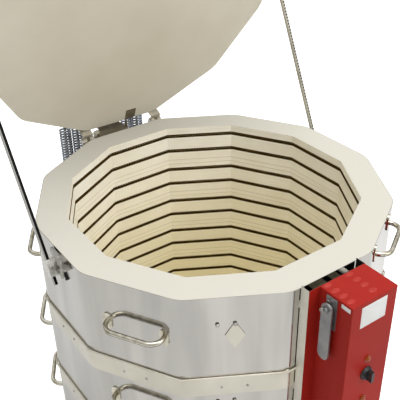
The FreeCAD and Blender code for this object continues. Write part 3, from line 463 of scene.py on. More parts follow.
    def joint_node(self, tree: Tree, height: Socket) -> Socket:
        """Two thin faint lines, one above and one below each place where courses of bricks meet.

        Args:
            tree: The material's node tree.
            height: Height above the floor.

        Returns:
            How strongly the lines show.
        """
        drop = add(tree, "ShaderNodeMath", {0: self.high, 1: height}, operation="SUBTRACT")
        wave = add(
            tree,
            "ShaderNodeMath",
            {0: drop.outputs[0], 1: self.course_mm * MM / 2},
            operation="PINGPONG",
        )
        off = add(
            tree,
            "ShaderNodeMath",
            {0: wave.outputs[0], 1: self.joint_off_mm * MM},
            operation="SUBTRACT",
        )
        away = add(tree, "ShaderNodeMath", {0: off.outputs[0]}, operation="ABSOLUTE")
        near = add(
            tree,
            "ShaderNodeMapRange",
            {
                "Value": away.outputs[0],
                "From Min": self.joint_mm * MM / 2,
                "From Max": self.joint_mm * MM,
                "To Min": self.joint_share,
                "To Max": 0.0,
            },
        )
        below = add(
            tree,
            "ShaderNodeMath",
            {0: drop.outputs[0], 1: self.course_mm * MM / 2},
            operation="GREATER_THAN",
        )
        return add(
            tree,
            "ShaderNodeMath",
            {0: near.outputs["Result"], 1: below.outputs[0]},
            operation="MULTIPLY",
        ).outputs[0]


@dataclass(frozen=True)
class ShieldSteel(Finish):
    """Dull stainless channel, with painted shade on the faces that look into the gap behind the switch
    box.
    """

    # Colour of the painted shade in the gap.
    gap_painted_shade: str = "1d1b16"
    turned: float = 0.3
    level: float = 0.5

    def colour_node(self, tree: Tree, place: Socket) -> Socket:
        """Steel outside, painted shade on the faces that look back at the kiln or across the gap.

        Args:
            tree: The material's node tree.
            place: The place on the piece.

        Returns:
            The colour socket.
        """
        plain = Finish.colour_node(self, tree, place)
        facing = add(tree, "ShaderNodeNewGeometry")
        turn = add(tree, "ShaderNodeSeparateXYZ", {"Vector": facing.outputs["True Normal"]})
        where = add(tree, "ShaderNodeSeparateXYZ", {"Vector": place})
        back = add(
            tree, "ShaderNodeMath", {0: turn.outputs["Y"], 1: self.turned}, operation="GREATER_THAN"
        )
        right = add(tree, "ShaderNodeMath", {0: where.outputs["X"], 1: 0.0}, operation="GREATER_THAN")
        side = add(
            tree, "ShaderNodeMath", {0: turn.outputs["X"], 1: self.turned}, operation="GREATER_THAN"
        )
        inner = add(
            tree, "ShaderNodeMath", {0: side.outputs[0], 1: right.outputs[0]}, operation="SUBTRACT"
        )
        away = add(tree, "ShaderNodeMath", {0: inner.outputs[0]}, operation="ABSOLUTE")
        top = add(
            tree, "ShaderNodeMath", {0: turn.outputs["Z"], 1: self.level}, operation="GREATER_THAN"
        )
        edge = add(tree, "ShaderNodeMath", {0: away.outputs[0], 1: top.outputs[0]}, operation="MAXIMUM")
        dark = add(
            tree, "ShaderNodeMath", {0: back.outputs[0], 1: edge.outputs[0]}, operation="MAXIMUM"
        )
        # Painted shade of the gap behind the switch box.
        mix = add(
            tree,
            "ShaderNodeMix",
            {"Factor": dark.outputs[0], 6: plain, 7: linear(self.gap_painted_shade)},
            data_type="RGBA",
        )
        return mix.outputs[2]


@dataclass(frozen=True)
class RolledSheet(Finish):
    """Thin stainless sheet, with soft upright bands of painted reflection for its slight waviness."""

    # Colour of the painted reflection bands.
    painted_reflection_band: str = "9f9d99"
    across: float = 11.0
    along: float = 1.3
    painted_reflection_share: float = 0.6

    def colour_node(self, tree: Tree, place: Socket) -> Socket:
        """Steel with darker bands of painted reflection that run upright.

        Args:
            tree: The material's node tree.
            place: The place on the piece.

        Returns:
            The colour socket.
        """
        plain = Finish.colour_node(self, tree, place)
        upright = add(
            tree,
            "ShaderNodeMapping",
            {"Vector": place, "Scale": (self.across, self.across, self.along)},
        )
        wave = add(
            tree,
            "ShaderNodeTexNoise",
            {
                "Vector": upright.outputs["Vector"],
                "Scale": 1.0,
                "Detail": 3.0,
                "Roughness": 0.5,
                "Distortion": 0.4,
            },
        )
        share = add(
            tree,
            "ShaderNodeMapRange",
            {
                "Value": wave.outputs["Fac"],
                "From Min": 0.42,
                "From Max": 0.7,
                "To Min": 0.0,
                "To Max": self.painted_reflection_share,
            },
        )
        # Painted reflection: darker upright bands in the steel's colour.
        mix = add(
            tree,
            "ShaderNodeMix",
            {"Factor": share.outputs["Result"], 6: plain, 7: linear(self.painted_reflection_band)},
            data_type="RGBA",
        )
        return mix.outputs[2]


@dataclass(frozen=True)
class ShadedSideRod(Finish):
    """Bright rod with painted shade along one side, laid in dark notches that run together into one line
    when share is one or more.
    """

    # Colour of the painted shade along the rod's side.
    scale: str = "0c0b09"
    along: tuple[float, float, float] = (0.0, 0.5, 0.86)
    facing: tuple[float, float, float] = (0.82, -0.57, 0.0)
    notch_mm: float = 9.0
    share: float = 0.55

    def colour_node(self, tree: Tree, place: Socket) -> Socket:
        """Steel, with notches of painted shade where the surface faces the rod's shaded side.

        Args:
            tree: The material's node tree.
            place: The place on the piece.

        Returns:
            The colour socket.
        """
        plain = Finish.colour_node(self, tree, place)
        normal = add(tree, "ShaderNodeNewGeometry")
        side = add(
            tree,
            "ShaderNodeVectorMath",
            {0: normal.outputs["Normal"], 1: self.facing},
            operation="DOT_PRODUCT",
        )
        shaded_side_mask = add(
            tree,
            "ShaderNodeMapRange",
            {"Value": side.outputs["Value"], "From Min": 0.1, "From Max": 0.2},
        )
        run = add(tree, "ShaderNodeVectorMath", {0: place, 1: self.along}, operation="DOT_PRODUCT")
        wave = add(
            tree, "ShaderNodeMath", {0: run.outputs["Value"], 1: self.notch_mm * MM}, operation="MODULO"
        )
        notch = add(
            tree,
            "ShaderNodeMath",
            {0: wave.outputs[0], 1: self.share * self.notch_mm * MM},
            operation="LESS_THAN",
        )
        both = add(
            tree,
            "ShaderNodeMath",
            {0: shaded_side_mask.outputs["Result"], 1: notch.outputs[0]},
            operation="MULTIPLY",
        )
        # Painted shade, in notches, on the side of the rod that turns towards facing.
        mix = add(
            tree,
            "ShaderNodeMix",
            {"Factor": both.outputs[0], 6: plain, 7: linear(self.scale)},
            data_type="RGBA",
        )
        return mix.outputs[2]


@dataclass(frozen=True)
class ChromedBar(Finish):
    """Chromed bar, bright on top, with painted shade along its underside."""

    # Colour of the painted shade on the underside.
    underside_painted_shade: str = "3a352a"

    def colour_node(self, tree: Tree, place: Socket) -> Socket:
        """Chrome with painted shade where the surface turns downward.

        Args:
            tree: The material's node tree.
            place: The place on the piece.

        Returns:
            The colour socket.
        """
        plain = Finish.colour_node(self, tree, place)
        normal = add(tree, "ShaderNodeNewGeometry")
        turn = add(tree, "ShaderNodeSeparateXYZ", {"Vector": normal.outputs["Normal"]})
        under = add(
            tree,
            "ShaderNodeMapRange",
            {"Value": turn.outputs["Z"], "From Min": -0.02, "From Max": -0.3},
        )
        # Painted shade on the downward-facing underside.
        mix = add(
            tree,
            "ShaderNodeMix",
            {"Factor": under.outputs["Result"], 6: plain, 7: linear(self.underside_painted_shade)},
            data_type="RGBA",
        )
        return mix.outputs[2]


@dataclass(frozen=True)
class Lens(Finish):
    """Moulded lamp lens: amber, glossy and partly clear."""

    clear: float = 0.5

    def build(self) -> bpy.types.Material:
        """Makes the material with some light passing through.

        Returns:
            The new material.
        """
        made = Finish.build(self)
        shader = next(n for n in made.node_tree.nodes if n.bl_idname == "ShaderNodeBsdfPrincipled")
        shader.inputs["Transmission Weight"].default_value = self.clear
        return made


# Insulating firebrick of the chamber: sawn and fired, chalky and matte, cream, with brown stain and
# painted shade in the grooves.
WALL_BRICK = HotBrick(
    "sawn_firebrick_chamber",
    "f7f3e8",
    "f0eada",
    roughness=0.95,
    grain_mm=0.9,
    bump_mm=0.14,
    patch_mm=110,
    specular=0.08,
)
# Firebrick of the lid under a rubbed refractory coat: dull and evenly pale, its pores faint.
SLAB_BRICK = FireBrick(
    "coated_firebrick_slab",
    "d8d2c2",
    "d0c9b8",
    roughness=0.95,
    grain_mm=1.2,
    bump_mm=0.08,
    patch_mm=260,
    pore_mm=2.2,
    pore="cfc5ab",
)
# Firebrick of the chamber's floor: matte and yellowed by heat, which warms the light on the walls.
FLOOR_BRICK = FireBrick(
    "fired_firebrick_floor", "efe5c2", "e2d5aa", roughness=0.95, grain_mm=1.0, bump_mm=0.12, patch_mm=90
)
# Resistance wire after firing: a dull golden-brown oxide skin that hardly shines.
OXIDE_WIRE = Finish(
    "oxidised_resistance_wire",
    "6c561e",
    "8c7030",
    roughness=0.9,
    grain_mm=0.4,
    bump_mm=0.02,
    patch_mm=30,
    specular=0.06,
)
# Bright-rolled stainless sheet: mirrors the room softly, with upright bands of painted reflection.
JACKET_STEEL = RolledSheet(
    "rolled_stainless_sheet",
    "c6c3be",
    "bebbb6",
    roughness=0.11,
    metallic=1.0,
    grain_mm=2.4,
    bump_mm=0.0012,
    patch_mm=320,
    stretch=(1.0, 1.0, 0.05),
)
# Polished stainless strip of the bands: brighter and warmer than the jackets.
BAND_STEEL = Finish(
    "polished_stainless_band",
    "cecabd",
    "bfbbae",
    roughness=0.18,
    metallic=1.0,
    grain_mm=2.0,
    bump_mm=0.001,
    patch_mm=120,
    stretch=(0.1, 0.1, 1.0),
)
# Chromed steel bar of the handles: sharp bright lines above, painted shade in dull brown below.
CHROME_BAR = ChromedBar(
    "chromed_steel_bar",
    "d8d4c6",
    "a39b86",
    roughness=0.1,
    metallic=1.0,
    grain_mm=0.8,
    bump_mm=0.004,
    patch_mm=20,
)
# Bright drawn rod with painted shade along one side, its notches close enough to read as one line.
LEFT_ROD = ShadedSideRod(
    "left_rod_painted_shade",
    "cfcec9",
    "c6c5c0",
    roughness=0.3,
    metallic=0.9,
    grain_mm=4.0,
    bump_mm=0.0001,
    patch_mm=400,
    share=1.1,
)
# Drawn rod dulled by heat, with notches of painted shade, standing in for its notched edge, drawn as
# coarse as they need to show.
RIGHT_ROD = ShadedSideRod(
    "right_rod_notched_painted_shade",
    "bdb8a8",
    "a9a494",
    roughness=0.5,
    metallic=0.35,
    grain_mm=4.0,
    bump_mm=0.0001,
    patch_mm=60,
)
# Zinc-plated pressings of the clamps: pale, satin, cloudy.
CLAMP_STEEL = Finish(
    "pressed_zinc_clamp",
    "e2e0da",
    "bab7ae",
    roughness=0.3,
    metallic=0.55,
    grain_mm=1.2,
    bump_mm=0.01,
    patch_mm=12,
)
# Cast and plated wing screws, worn: mottled from mid grey to nearly black.
WING_STEEL = Finish(
    "cast_wing_screw",
    "7c796f",
    "3a3730",
    roughness=0.3,
    metallic=1.0,
    grain_mm=0.8,
    bump_mm=0.04,
    patch_mm=6,
)
# Zinc-plated steel: grey clouds about a centimetre wide, half glossy.
ZINC_STEEL = Finish(
    "zinc_plated_steel",
    "b9b8b2",
    "8f8d86",
    roughness=0.32,
    metallic=1.0,
    grain_mm=1.2,
    bump_mm=0.02,
    patch_mm=14,
)
# Oil-tempered spring wire: blue-grey with bright crests.
SPRING_STEEL = Finish(
    "oiled_spring_wire",
    "a3a9b0",
    "70767e",
    roughness=0.24,
    metallic=0.95,
    grain_mm=0.6,
    bump_mm=0.01,
    patch_mm=16,
)
# Powder coat on the switch box: even red, semi-matte, with a fine orange-peel grain.
RED_ENAMEL = Finish(
    "red_powder_coat",
    "9c1d13",
    "921a10",
    roughness=0.55,
    grain_mm=1.1,
    bump_mm=0.03,
    patch_mm=150,
    specular=0.16,
)
# The same powder coat on the raised dimples, painted a little lighter as a highlight, and shinier.
DIMPLE_HIGHLIGHT_RED = Finish(
    "dimple_red_painted_highlight",
    "a82a1e",
    "9e2016",
    roughness=0.5,
    grain_mm=1.1,
    bump_mm=0.03,
    patch_mm=10,
    specular=0.3,
)
# Mild steel straps under brick dust: dull, grey-beige.
STRAP_STEEL = Finish(
    "dusty_mild_steel",
    "c9c2b0",
    "a79f8b",
    roughness=0.6,
    metallic=0.35,
    grain_mm=1.0,
    bump_mm=0.03,
    patch_mm=24,
)
# Steel at the hinge: dark brown as painted shade of the hinge's gap, dull and patchy.
HINGE_SHADE_STEEL = Finish(
    "hinge_steel_painted_shade",
    "7a6f58",
    "5c523d",
    roughness=0.62,
    metallic=0.45,
    grain_mm=1.0,
    bump_mm=0.03,
    patch_mm=22,
)
# Ground flat bar of the isolator's lever: even grey, satin along its length.
GREY_STEEL = Finish(
    "ground_steel_bar",
    "9c9c9a",
    "86868a",
    roughness=0.42,
    metallic=0.85,
    grain_mm=0.8,
    bump_mm=0.01,
    patch_mm=40,
    stretch=(1.0, 1.0, 0.1),
)
# Plated steel of the plate behind the lever, dulled by handling: light grey, satin.
DULLED_STEEL = Finish(
    "dulled_steel_plate",
    "a6a6a4",
    "86888a",
    roughness=0.42,
    metallic=0.8,
    grain_mm=0.9,
    bump_mm=0.02,
    patch_mm=30,
)
# Mild steel of the hangers, dark brown as painted shade of the gap: nearly matte.
HANGER_SHADE_STEEL = Finish(
    "hanger_steel_painted_shade",
    "4f4936",
    "35301f",
    roughness=0.7,
    metallic=0.3,
    grain_mm=1.0,
    bump_mm=0.03,
    patch_mm=22,
)
# Dull stainless of the heat shield: pale outside, painted shade inside.
SHIELD_STEEL = ShieldSteel(
    "dull_stainless_channel",
    "e6e2d6",
    "d8d3c5",
    roughness=0.5,
    metallic=0.7,
    grain_mm=1.6,
    bump_mm=0.01,
    patch_mm=60,
    stretch=(1.0, 1.0, 0.1),
)
# Stainless bead rolled on the bands' edge: satin, pale as a painted highlight, seen as one thin light
# line.
BEAD_HIGHLIGHT_STEEL = Finish(
    "rolled_edge_bead_painted_highlight",
    "ded9ca",
    "cfc9b8",
    roughness=0.46,
    metallic=0.7,
    grain_mm=1.6,
    bump_mm=0.004,
    patch_mm=60,
)
# Stove enamel on the stand: black, semi-matte.
STAND_PAINT = Finish(
    "black_stove_enamel", "2c2c2e", "242426", roughness=0.5, grain_mm=1.0, bump_mm=0.03, patch_mm=80
)
# Moulded phenolic of knobs, feet and switches: near black, faintly glossy.
BLACK_PLASTIC = Finish(
    "moulded_black_phenolic",
    "1b1b1c",
    "242425",
    roughness=0.38,
    grain_mm=0.7,
    bump_mm=0.02,
    patch_mm=20,
)
# Moulded melamine of the terminal block: ivory, smooth.
WHITE_PLASTIC = Finish(
    "moulded_white_melamine", "e6e4dc", "dad7cc", roughness=0.4, grain_mm=0.7, bump_mm=0.01, patch_mm=20
)
# Unglazed porcelain tubes: off-white, dry.
PORCELAIN = Finish(
    "unglazed_porcelain", "efece2", "e2ddcf", roughness=0.55, grain_mm=0.6, bump_mm=0.01, patch_mm=18
)
# Blank plastic film on the box: neutral white, slightly glossy.
LABEL_FILM = Finish(
    "blank_white_film", "d8d8d6", "d0d0ce", roughness=0.35, grain_mm=0.8, bump_mm=0.004, patch_mm=20
)
# Moulded amber lens of the pilot lamps: deep orange, glossy, half clear.
AMBER_LENS = Lens(
    "amber_lamp_lens", "c8611a", "b8541a", roughness=0.12, grain_mm=0.8, bump_mm=0.004, patch_mm=12
)

NODE_FINISH: dict[str, Finish] = {
    "lid_slab": SLAB_BRICK,
    "lid_band": BAND_STEEL,
    "lid_handle": CHROME_BAR,
    "lid_hinge_straps": STRAP_STEEL,
    "lid_lever_plates": ZINC_STEEL,
    "lid_stay_studs": ZINC_STEEL,
    # The lid's edge clip is dark brown as painted shade.
    "lid_edge_clip": HINGE_SHADE_STEEL,
    "spring_yoke": ZINC_STEEL,
    "floor_slab": FLOOR_BRICK,
    "floor_pan": JACKET_STEEL,
    "locating_bands": BAND_STEEL,
    "stand_frame": STAND_PAINT,
    "stand_legs": STAND_PAINT,
    "stand_feet": BLACK_PLASTIC,
    # The hinge bracket's dark brown is painted shade of its gap.
    "hinge_bracket": HINGE_SHADE_STEEL,
    "hinge_pins": ZINC_STEEL,
    "spring_anchor": ZINC_STEEL,
    "springs": SPRING_STEEL,
    "spring_eye_bolts": ZINC_STEEL,
    "stay_brackets": CLAMP_STEEL,
    "heat_shield": SHIELD_STEEL,
    # The hangers' dark brown is painted shade of the gap.
    "box_hangers": HANGER_SHADE_STEEL,
    "box_back_plate": RED_ENAMEL,
    "box_hood": RED_ENAMEL,
    "box_screws": ZINC_STEEL,
    "heat_switches": BLACK_PLASTIC,
    "pilot_lamps": AMBER_LENS,
    "isolator_plate": DULLED_STEEL,
    "isolator_lever": GREY_STEEL,
    "isolator_switch": BLACK_PLASTIC,
    "terminal_insulators": PORCELAIN,
    "element_terminals": ZINC_STEEL,
    "terminal_block": WHITE_PLASTIC,
    "inlet_gland": BLACK_PLASTIC,
    "peephole_screws": ZINC_STEEL,
}
for _part in ("top", "middle", "bottom"):
    NODE_FINISH[_part + "_bricks"] = WALL_BRICK
    NODE_FINISH[_part + "_element"] = OXIDE_WIRE
    NODE_FINISH[_part + "_jacket"] = JACKET_STEEL
    NODE_FINISH[_part + "_handles"] = CHROME_BAR
    NODE_FINISH[_part + "_knob"] = BLACK_PLASTIC
    NODE_FINISH[_part + "_peephole_cover"] = BAND_STEEL
for _part in ("left", "right"):
    NODE_FINISH[_part + "_stay_rod"] = LEFT_ROD if _part == "left" else RIGHT_ROD
    NODE_FINISH[_part + "_stay_block"] = CLAMP_STEEL
    NODE_FINISH[_part + "_wing_screw"] = WING_STEEL


# Modelling by operators


def deselect() -> None:
    """Leaves nothing selected."""
    bpy.ops.object.select_all(action="DESELECT")


def current() -> Piece:
    """The object that the last operator made or changed."""
    return bpy.context.view_layer.objects.active


def select_only(piece: Piece) -> None:
    """Selects one object and makes it the active one.

    Args:
        piece: The object to select.
    """
    deselect()
    piece.select_set(True)
    bpy.context.view_layer.objects.active = piece


def settle(piece: Piece) -> Piece:
    """Moves a piece's place into its mesh.

    Args:
        piece: The finished piece.

    Returns:
        The same piece, with its object at the origin.
    """
    select_only(piece)
    bpy.ops.object.transform_apply(location=True, rotation=True, scale=True)
    return piece


def apply(piece: Piece, kind: str, **settings) -> Piece:
    """Adds a modifier and applies it.

    Args:
        piece: The piece to change.
        kind: The modifier's type.
        **settings: The modifier's properties.

    Returns:
        The same piece.
    """
    select_only(piece)
    made = piece.modifiers.new(kind.lower(), kind)
    for name, value in settings.items():
        setattr(made, name, value)
    bpy.ops.object.modifier_apply(modifier=made.name)
    return piece


def smooth(piece: Piece, degrees: float = 35.0) -> Piece:
    """Shades a piece smooth, except across its sharp edges.

    Args:
        piece: The piece to shade.
        degrees: The sharpest turn between two faces that still shades smooth.

    Returns:
        The same piece.
    """
    select_only(piece)
    bpy.ops.object.shade_smooth_by_angle(angle=math.radians(degrees))
    return piece


def joined(pieces: list[Piece], name: str) -> Piece:
    """Joins pieces into one, under a name.

    Args:
        pieces: The pieces to join.
        name: The joined piece's name.

    Returns:
        The joined piece.
    """
    deselect()
    for piece in pieces:
        piece.select_set(True)
    bpy.context.view_layer.objects.active = pieces[0]
    if len(pieces) > 1:
        bpy.ops.object.join()
    made = current()
    made.name = name
    made.data.name = name
    return made


def copied(piece: Piece, place: Matrix) -> Piece:
    """A copy of a piece with its own mesh, moved as the matrix says.

    Args:
        piece: The piece to copy.
        place: Where the copy goes, from the piece's own place.

    Returns:
        The copy.
    """
    select_only(piece)
    bpy.ops.object.duplicate(linked=False)
    made = current()
    made.matrix_world = place @ piece.matrix_world
    return settle(made)


def dressed(piece: Piece, finish: Finish, body: Body) -> Piece:
    """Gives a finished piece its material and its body.

    Args:
        piece: The finished piece.
        finish: What its surface is.
        body: The body it rides on.

    Returns:
        The same piece.
    """
    piece.data.materials.clear()
    piece.data.materials.append(finish.material())
    for face in piece.data.polygons:
        face.material_index = 0
    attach(piece, body.value)
    LOG.info("made %s with %d faces", piece.name, len(piece.data.polygons))
    return piece


def on_side(degrees: float) -> Matrix:
    """Turns what is made on the +X side to another side, about the kiln's axis."""
    return Matrix.Translation((0, KILN.axis_y, 0)) @ Matrix.Rotation(math.radians(degrees), 4, "Z")


# The kiln's main measures, read from the frame


@dataclass
class Measures:
    """Places that several classes use: the axis, rim and jacket read from the CAD nodes, and the section's
    height given.
    """

    axis_y: float = 0.0
    rim: float = 0.0
    jacket: float = 0.0
    section: float = 0.2286

    @classmethod
    def read(cls) -> "Measures":
        """Reads the axis, rim and jacket from the frame.

        Returns:
            The measures.
        """
        low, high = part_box("top_jacket")
        return cls((low[1] + high[1]) / 2, high[2], (high[0] - low[0]) / 2)


KILN = Measures.read()


# Light, floor and camera


@dataclass
class Studio:
    """A plain pale floor, soft studio light and the camera at the photograph's viewing angle."""

    lens_mm: float = 63.25
    sensor_mm: float = 36.0
    far: float = 100.0
    camera_place: tuple[float, float, float] = (-0.9157, -1.2693, 0.9243)
    ahead: tuple[float, float, float] = (0.4843, 0.7014, -0.5229)
    roll_degrees: float = -1.34
    sky_high: float = 1.08
    sky_low: float = 0.3
    left_share: float = 0.66
    sky_rise: tuple[float, float] = (-0.1, 0.75)
    sky_across: tuple[float, float] = (-0.9, 0.1)
    floor_size: float = 40.0
    floor_glow: float = 0.62
    floor_colour: tuple[float, float, float, float] = (0.8, 0.8, 0.79, 1.0)
    aim_height: float = 0.7
    lamps: tuple[tuple[str, tuple[float, float, float], float, float], ...] = (
        ("key", (1.5, -3.4, 3.1), 2.2, 48.0),
        ("fill", (-3.4, -1.2, 2.8), 2.6, 3.0),
        ("top", (0.2, -0.4, 4.6), 2.8, 82.0),
    )

    def camera(self) -> None:
        """Makes the camera."""
        made = bpy.data.cameras.new("camera")
        made.lens = self.lens_mm
        made.sensor_width = self.sensor_mm
        made.clip_end = self.far
        holder = bpy.data.objects.new("camera", made)
        bpy.context.collection.objects.link(holder)
        ahead = Vector(self.ahead).normalized()
        right = ahead.cross(Vector((0, 0, 1))).normalized()
        up = right.cross(ahead)
        roll = math.radians(self.roll_degrees)
        across = right * math.cos(roll) + up * math.sin(roll)
        upward = -right * math.sin(roll) + up * math.cos(roll)
        turn = Matrix((across, upward, -ahead)).transposed().to_4x4()
        place = Vector(self.camera_place) + Vector((0, KILN.axis_y, KILN.rim))
        holder.matrix_world = Matrix.Translation(place) @ turn
        bpy.context.scene.camera = holder

    def floor(self) -> None:
        """Makes the floor: pale to everything, and white to the camera outside the shadow."""
        deselect()
        bpy.ops.mesh.primitive_plane_add(size=self.floor_size, location=(0, 0, 0))
        floor = settle(current())
        floor.name = "floor"
        made = bpy.data.materials.new("pale_floor")
        made.use_nodes = True
        tree = made.node_tree
        tree.nodes.clear()
        path = add(tree, "ShaderNodeLightPath")
        through = add(
            tree,
            "ShaderNodeMath",
            {0: path.outputs["Is Camera Ray"], 1: path.outputs["Is Transmission Ray"]},
            operation="MAXIMUM",
        )
        lift = add(
            tree, "ShaderNodeMath", {0: through.outputs[0], 1: self.floor_glow}, operation="MULTIPLY"
        )
        matte = add(tree, "ShaderNodeBsdfDiffuse", {"Color": self.floor_colour})
        glow = add(tree, "ShaderNodeEmission", {"Color": (1, 1, 1, 1), "Strength": lift.outputs[0]})
        both = add(tree, "ShaderNodeAddShader", {0: matte.outputs[0], 1: glow.outputs[0]})
        add(tree, "ShaderNodeOutputMaterial", {"Surface": both.outputs[0]})
        floor.data.materials.append(made)

    def lamp(self, name: str, place: tuple[float, float, float], size: float, power: float) -> None:
        """Adds a square soft lamp that points at the kiln.

        Args:
            name: The lamp's name.
            place: Where it hangs.
            size: Its side length.
            power: Its power in watts.
        """
        made = bpy.data.lights.new(name, "AREA")
        made.shape = "SQUARE"
        made.size = size
        made.energy = power
        holder = bpy.data.objects.new(name, made)
        bpy.context.collection.objects.link(holder)
        aim = Vector((0, 0, self.aim_height)) - Vector(place)
        holder.matrix_world = Matrix.Translation(place) @ aim.to_track_quat("-Z", "Y").to_matrix().to_4x4()

    def light(self) -> None:
        """Makes the world and the lamps."""
        world = bpy.data.worlds.new("studio")
        bpy.context.scene.world = world
        world.use_nodes = True
        tree = world.node_tree
        tree.nodes.clear()
        where = add(tree, "ShaderNodeTexCoord")
        parts = add(tree, "ShaderNodeSeparateXYZ", {"Vector": where.outputs["Generated"]})
        rise = add(
            tree,
            "ShaderNodeMapRange",
            {
                "Value": parts.outputs["Z"],
                "From Min": self.sky_rise[0],
                "From Max": self.sky_rise[1],
                "To Min": self.sky_low,
                "To Max": self.sky_high,
            },
        )
        path = add(tree, "ShaderNodeLightPath")
        across = add(
            tree,
            "ShaderNodeMapRange",
            {
                "Value": parts.outputs["X"],
                "From Min": self.sky_across[0],
                "From Max": self.sky_across[1],
                "To Min": self.left_share,
                "To Max": 1.0,
            },
        )
        lit = add(
            tree,
            "ShaderNodeMath",
            {0: rise.outputs["Result"], 1: across.outputs["Result"]},
            operation="MULTIPLY",
        )
        level = add(
            tree,
            "ShaderNodeMath",
            {0: lit.outputs[0], 1: path.outputs["Is Camera Ray"]},
            operation="MAXIMUM",
        )
        sky = add(tree, "ShaderNodeBackground", {"Color": (1, 1, 1, 1), "Strength": level.outputs[0]})
        add(tree, "ShaderNodeOutputWorld", {"Surface": sky.outputs[0]})
        for name, place, size, power in self.lamps:
            self.lamp(name, place, size, power)

    def build(self) -> None:
        """Makes camera, floor and light."""
        self.camera()
        self.floor()
        self.light()
        bpy.context.scene.view_settings.view_transform = "Standard"


# New pieces


@dataclass
class HeatingElements:
    """Coiled wires lying in the grooves of the chamber wall."""

    wire_mm: float = 1.9
    coil_mm: float = 4.6
    pitch_mm: float = 8.6
    middle_mm: float = 375.2
    steps: int = 9
    drops_mm: tuple[float, ...] = (26.0, 76.0, 140.3, 190.3)
    sag_mm: float = 0.6

    def side_coil(self) -> Piece:
        """One side's length of coil, wound along +Y on the +X side at height 0.

        Returns:
            The coil.
        """
        reach = 2 * self.middle_mm * math.tan(HALF_SIDE)
        turns = round(reach / self.pitch_mm)
        deselect()
        bpy.ops.mesh.primitive_circle_add(
            vertices=5,
            radius=self.wire_mm * MM,
            location=(self.coil_mm * MM, 0, 0),
            rotation=(QUARTER_TURN, 0, 0),
        )
        coil = settle(current())
        apply(
            coil,
            "SCREW",
            axis="Z",
            angle=math.tau,
            screw_offset=reach * MM / turns,
            iterations=turns,
            steps=self.steps,
            render_steps=self.steps,
        )
        coil.matrix_world = Matrix.Translation(
            (self.middle_mm * MM, -reach * MM / 2, 0)
        ) @ Matrix.Rotation(-QUARTER_TURN, 4, "X")
        return settle(coil)

    def build(self) -> None:
        """Winds the coil once and lays it in every groove."""
        coil = self.side_coil()
        for index, part in enumerate(("top", "middle", "bottom")):
            turns = []
            for drop in self.drops_mm:
                height = KILN.rim - index * KILN.section - (drop + self.sag_mm) * MM
                for i in range(SIDES):
                    turns.append(
                        copied(coil, Matrix.Translation((0, 0, height)) @ on_side(i * SIDE_DEGREES))
                    )
            piece = smooth(joined(turns, part + "_element_coils"), 60)
            dressed(piece, OXIDE_WIRE, Body.KILN)
            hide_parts(part + "_element")
        bpy.data.objects.remove(coil)


@dataclass
class BalanceSprings:
    """Four long springs behind the kiln, each with a wire eye at its foot."""

    wire_mm: float = 3.0
    pitch_mm: float = 9.0
    top_gap_mm: float = 19.0
    steps: int = 20
    columns_mm: tuple[float, ...] = (-129.0, -88.0, 88.0, 129.0)
    eye_room_mm: float = 45.0
    eye_radius_mm: float = 8.9
    eye_wire_mm: float = 2.4
    eye_rise_mm: float = 11.4
    neck_mm: tuple[float, float, float] = (3.2, 16.0, 26.0)
    neck_rise_mm: float = 34.0

    def build(self) -> None:
        """Winds one spring and sets a copy over each CAD sleeve, with its eye."""
        low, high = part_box("springs")
        radius = (high[1] - low[1]) / 2
        centre_y = (high[1] + low[1]) / 2
        base = low[2] + self.eye_room_mm * MM
        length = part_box("spring_yoke")[0][2] - self.top_gap_mm * MM - base
        turns = int(length / (self.pitch_mm * MM))
        deselect()
        bpy.ops.mesh.primitive_circle_add(
            vertices=8,
            radius=self.wire_mm * MM,
            location=(radius - self.wire_mm * MM, 0, 0),
            rotation=(QUARTER_TURN, 0, 0),
        )
        coil = settle(current())
        apply(
            coil,
            "SCREW",
            axis="Z",
            angle=math.tau,
            screw_offset=self.pitch_mm * MM,
            iterations=turns,
            steps=self.steps,
            render_steps=self.steps,
        )
        coils = [copied(coil, Matrix.Translation((x * MM, centre_y, base))) for x in self.columns_mm]
        hooks = [self.hook(x * MM, centre_y, low[2]) for x in self.columns_mm]
        bpy.data.objects.remove(coil)
        piece = smooth(joined(coils + hooks, "spring_coils"), 60)
        dressed(piece, SPRING_STEEL, Body.SPRINGS)
        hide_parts("springs")

    def hook(self, x: float, y: float, low: float) -> Piece:
        """The wire eye below a spring, round the anchor bar.

        Args:
            x: The spring's place across.
            y: The spring's place along.
            low: The eye's lowest point.

        Returns:
            The eye with its neck.
        """
        deselect()
        bpy.ops.mesh.primitive_torus_add(
            major_radius=self.eye_radius_mm * MM,
            minor_radius=self.eye_wire_mm * MM,
            major_segments=28,
            minor_segments=8,
            location=(x, y, low + self.eye_rise_mm * MM),
            rotation=(0, QUARTER_TURN, 0),
        )
        eye = settle(current())
        deselect()
        narrow, wide, tall = self.neck_mm
        bpy.ops.mesh.primitive_cone_add(
            vertices=20,
            radius1=narrow * MM,
            radius2=wide * MM,
            depth=tall * MM,
            location=(x, y, low + self.neck_rise_mm * MM),
        )
        neck = settle(current())
        return joined([eye, neck], "spring_eye")


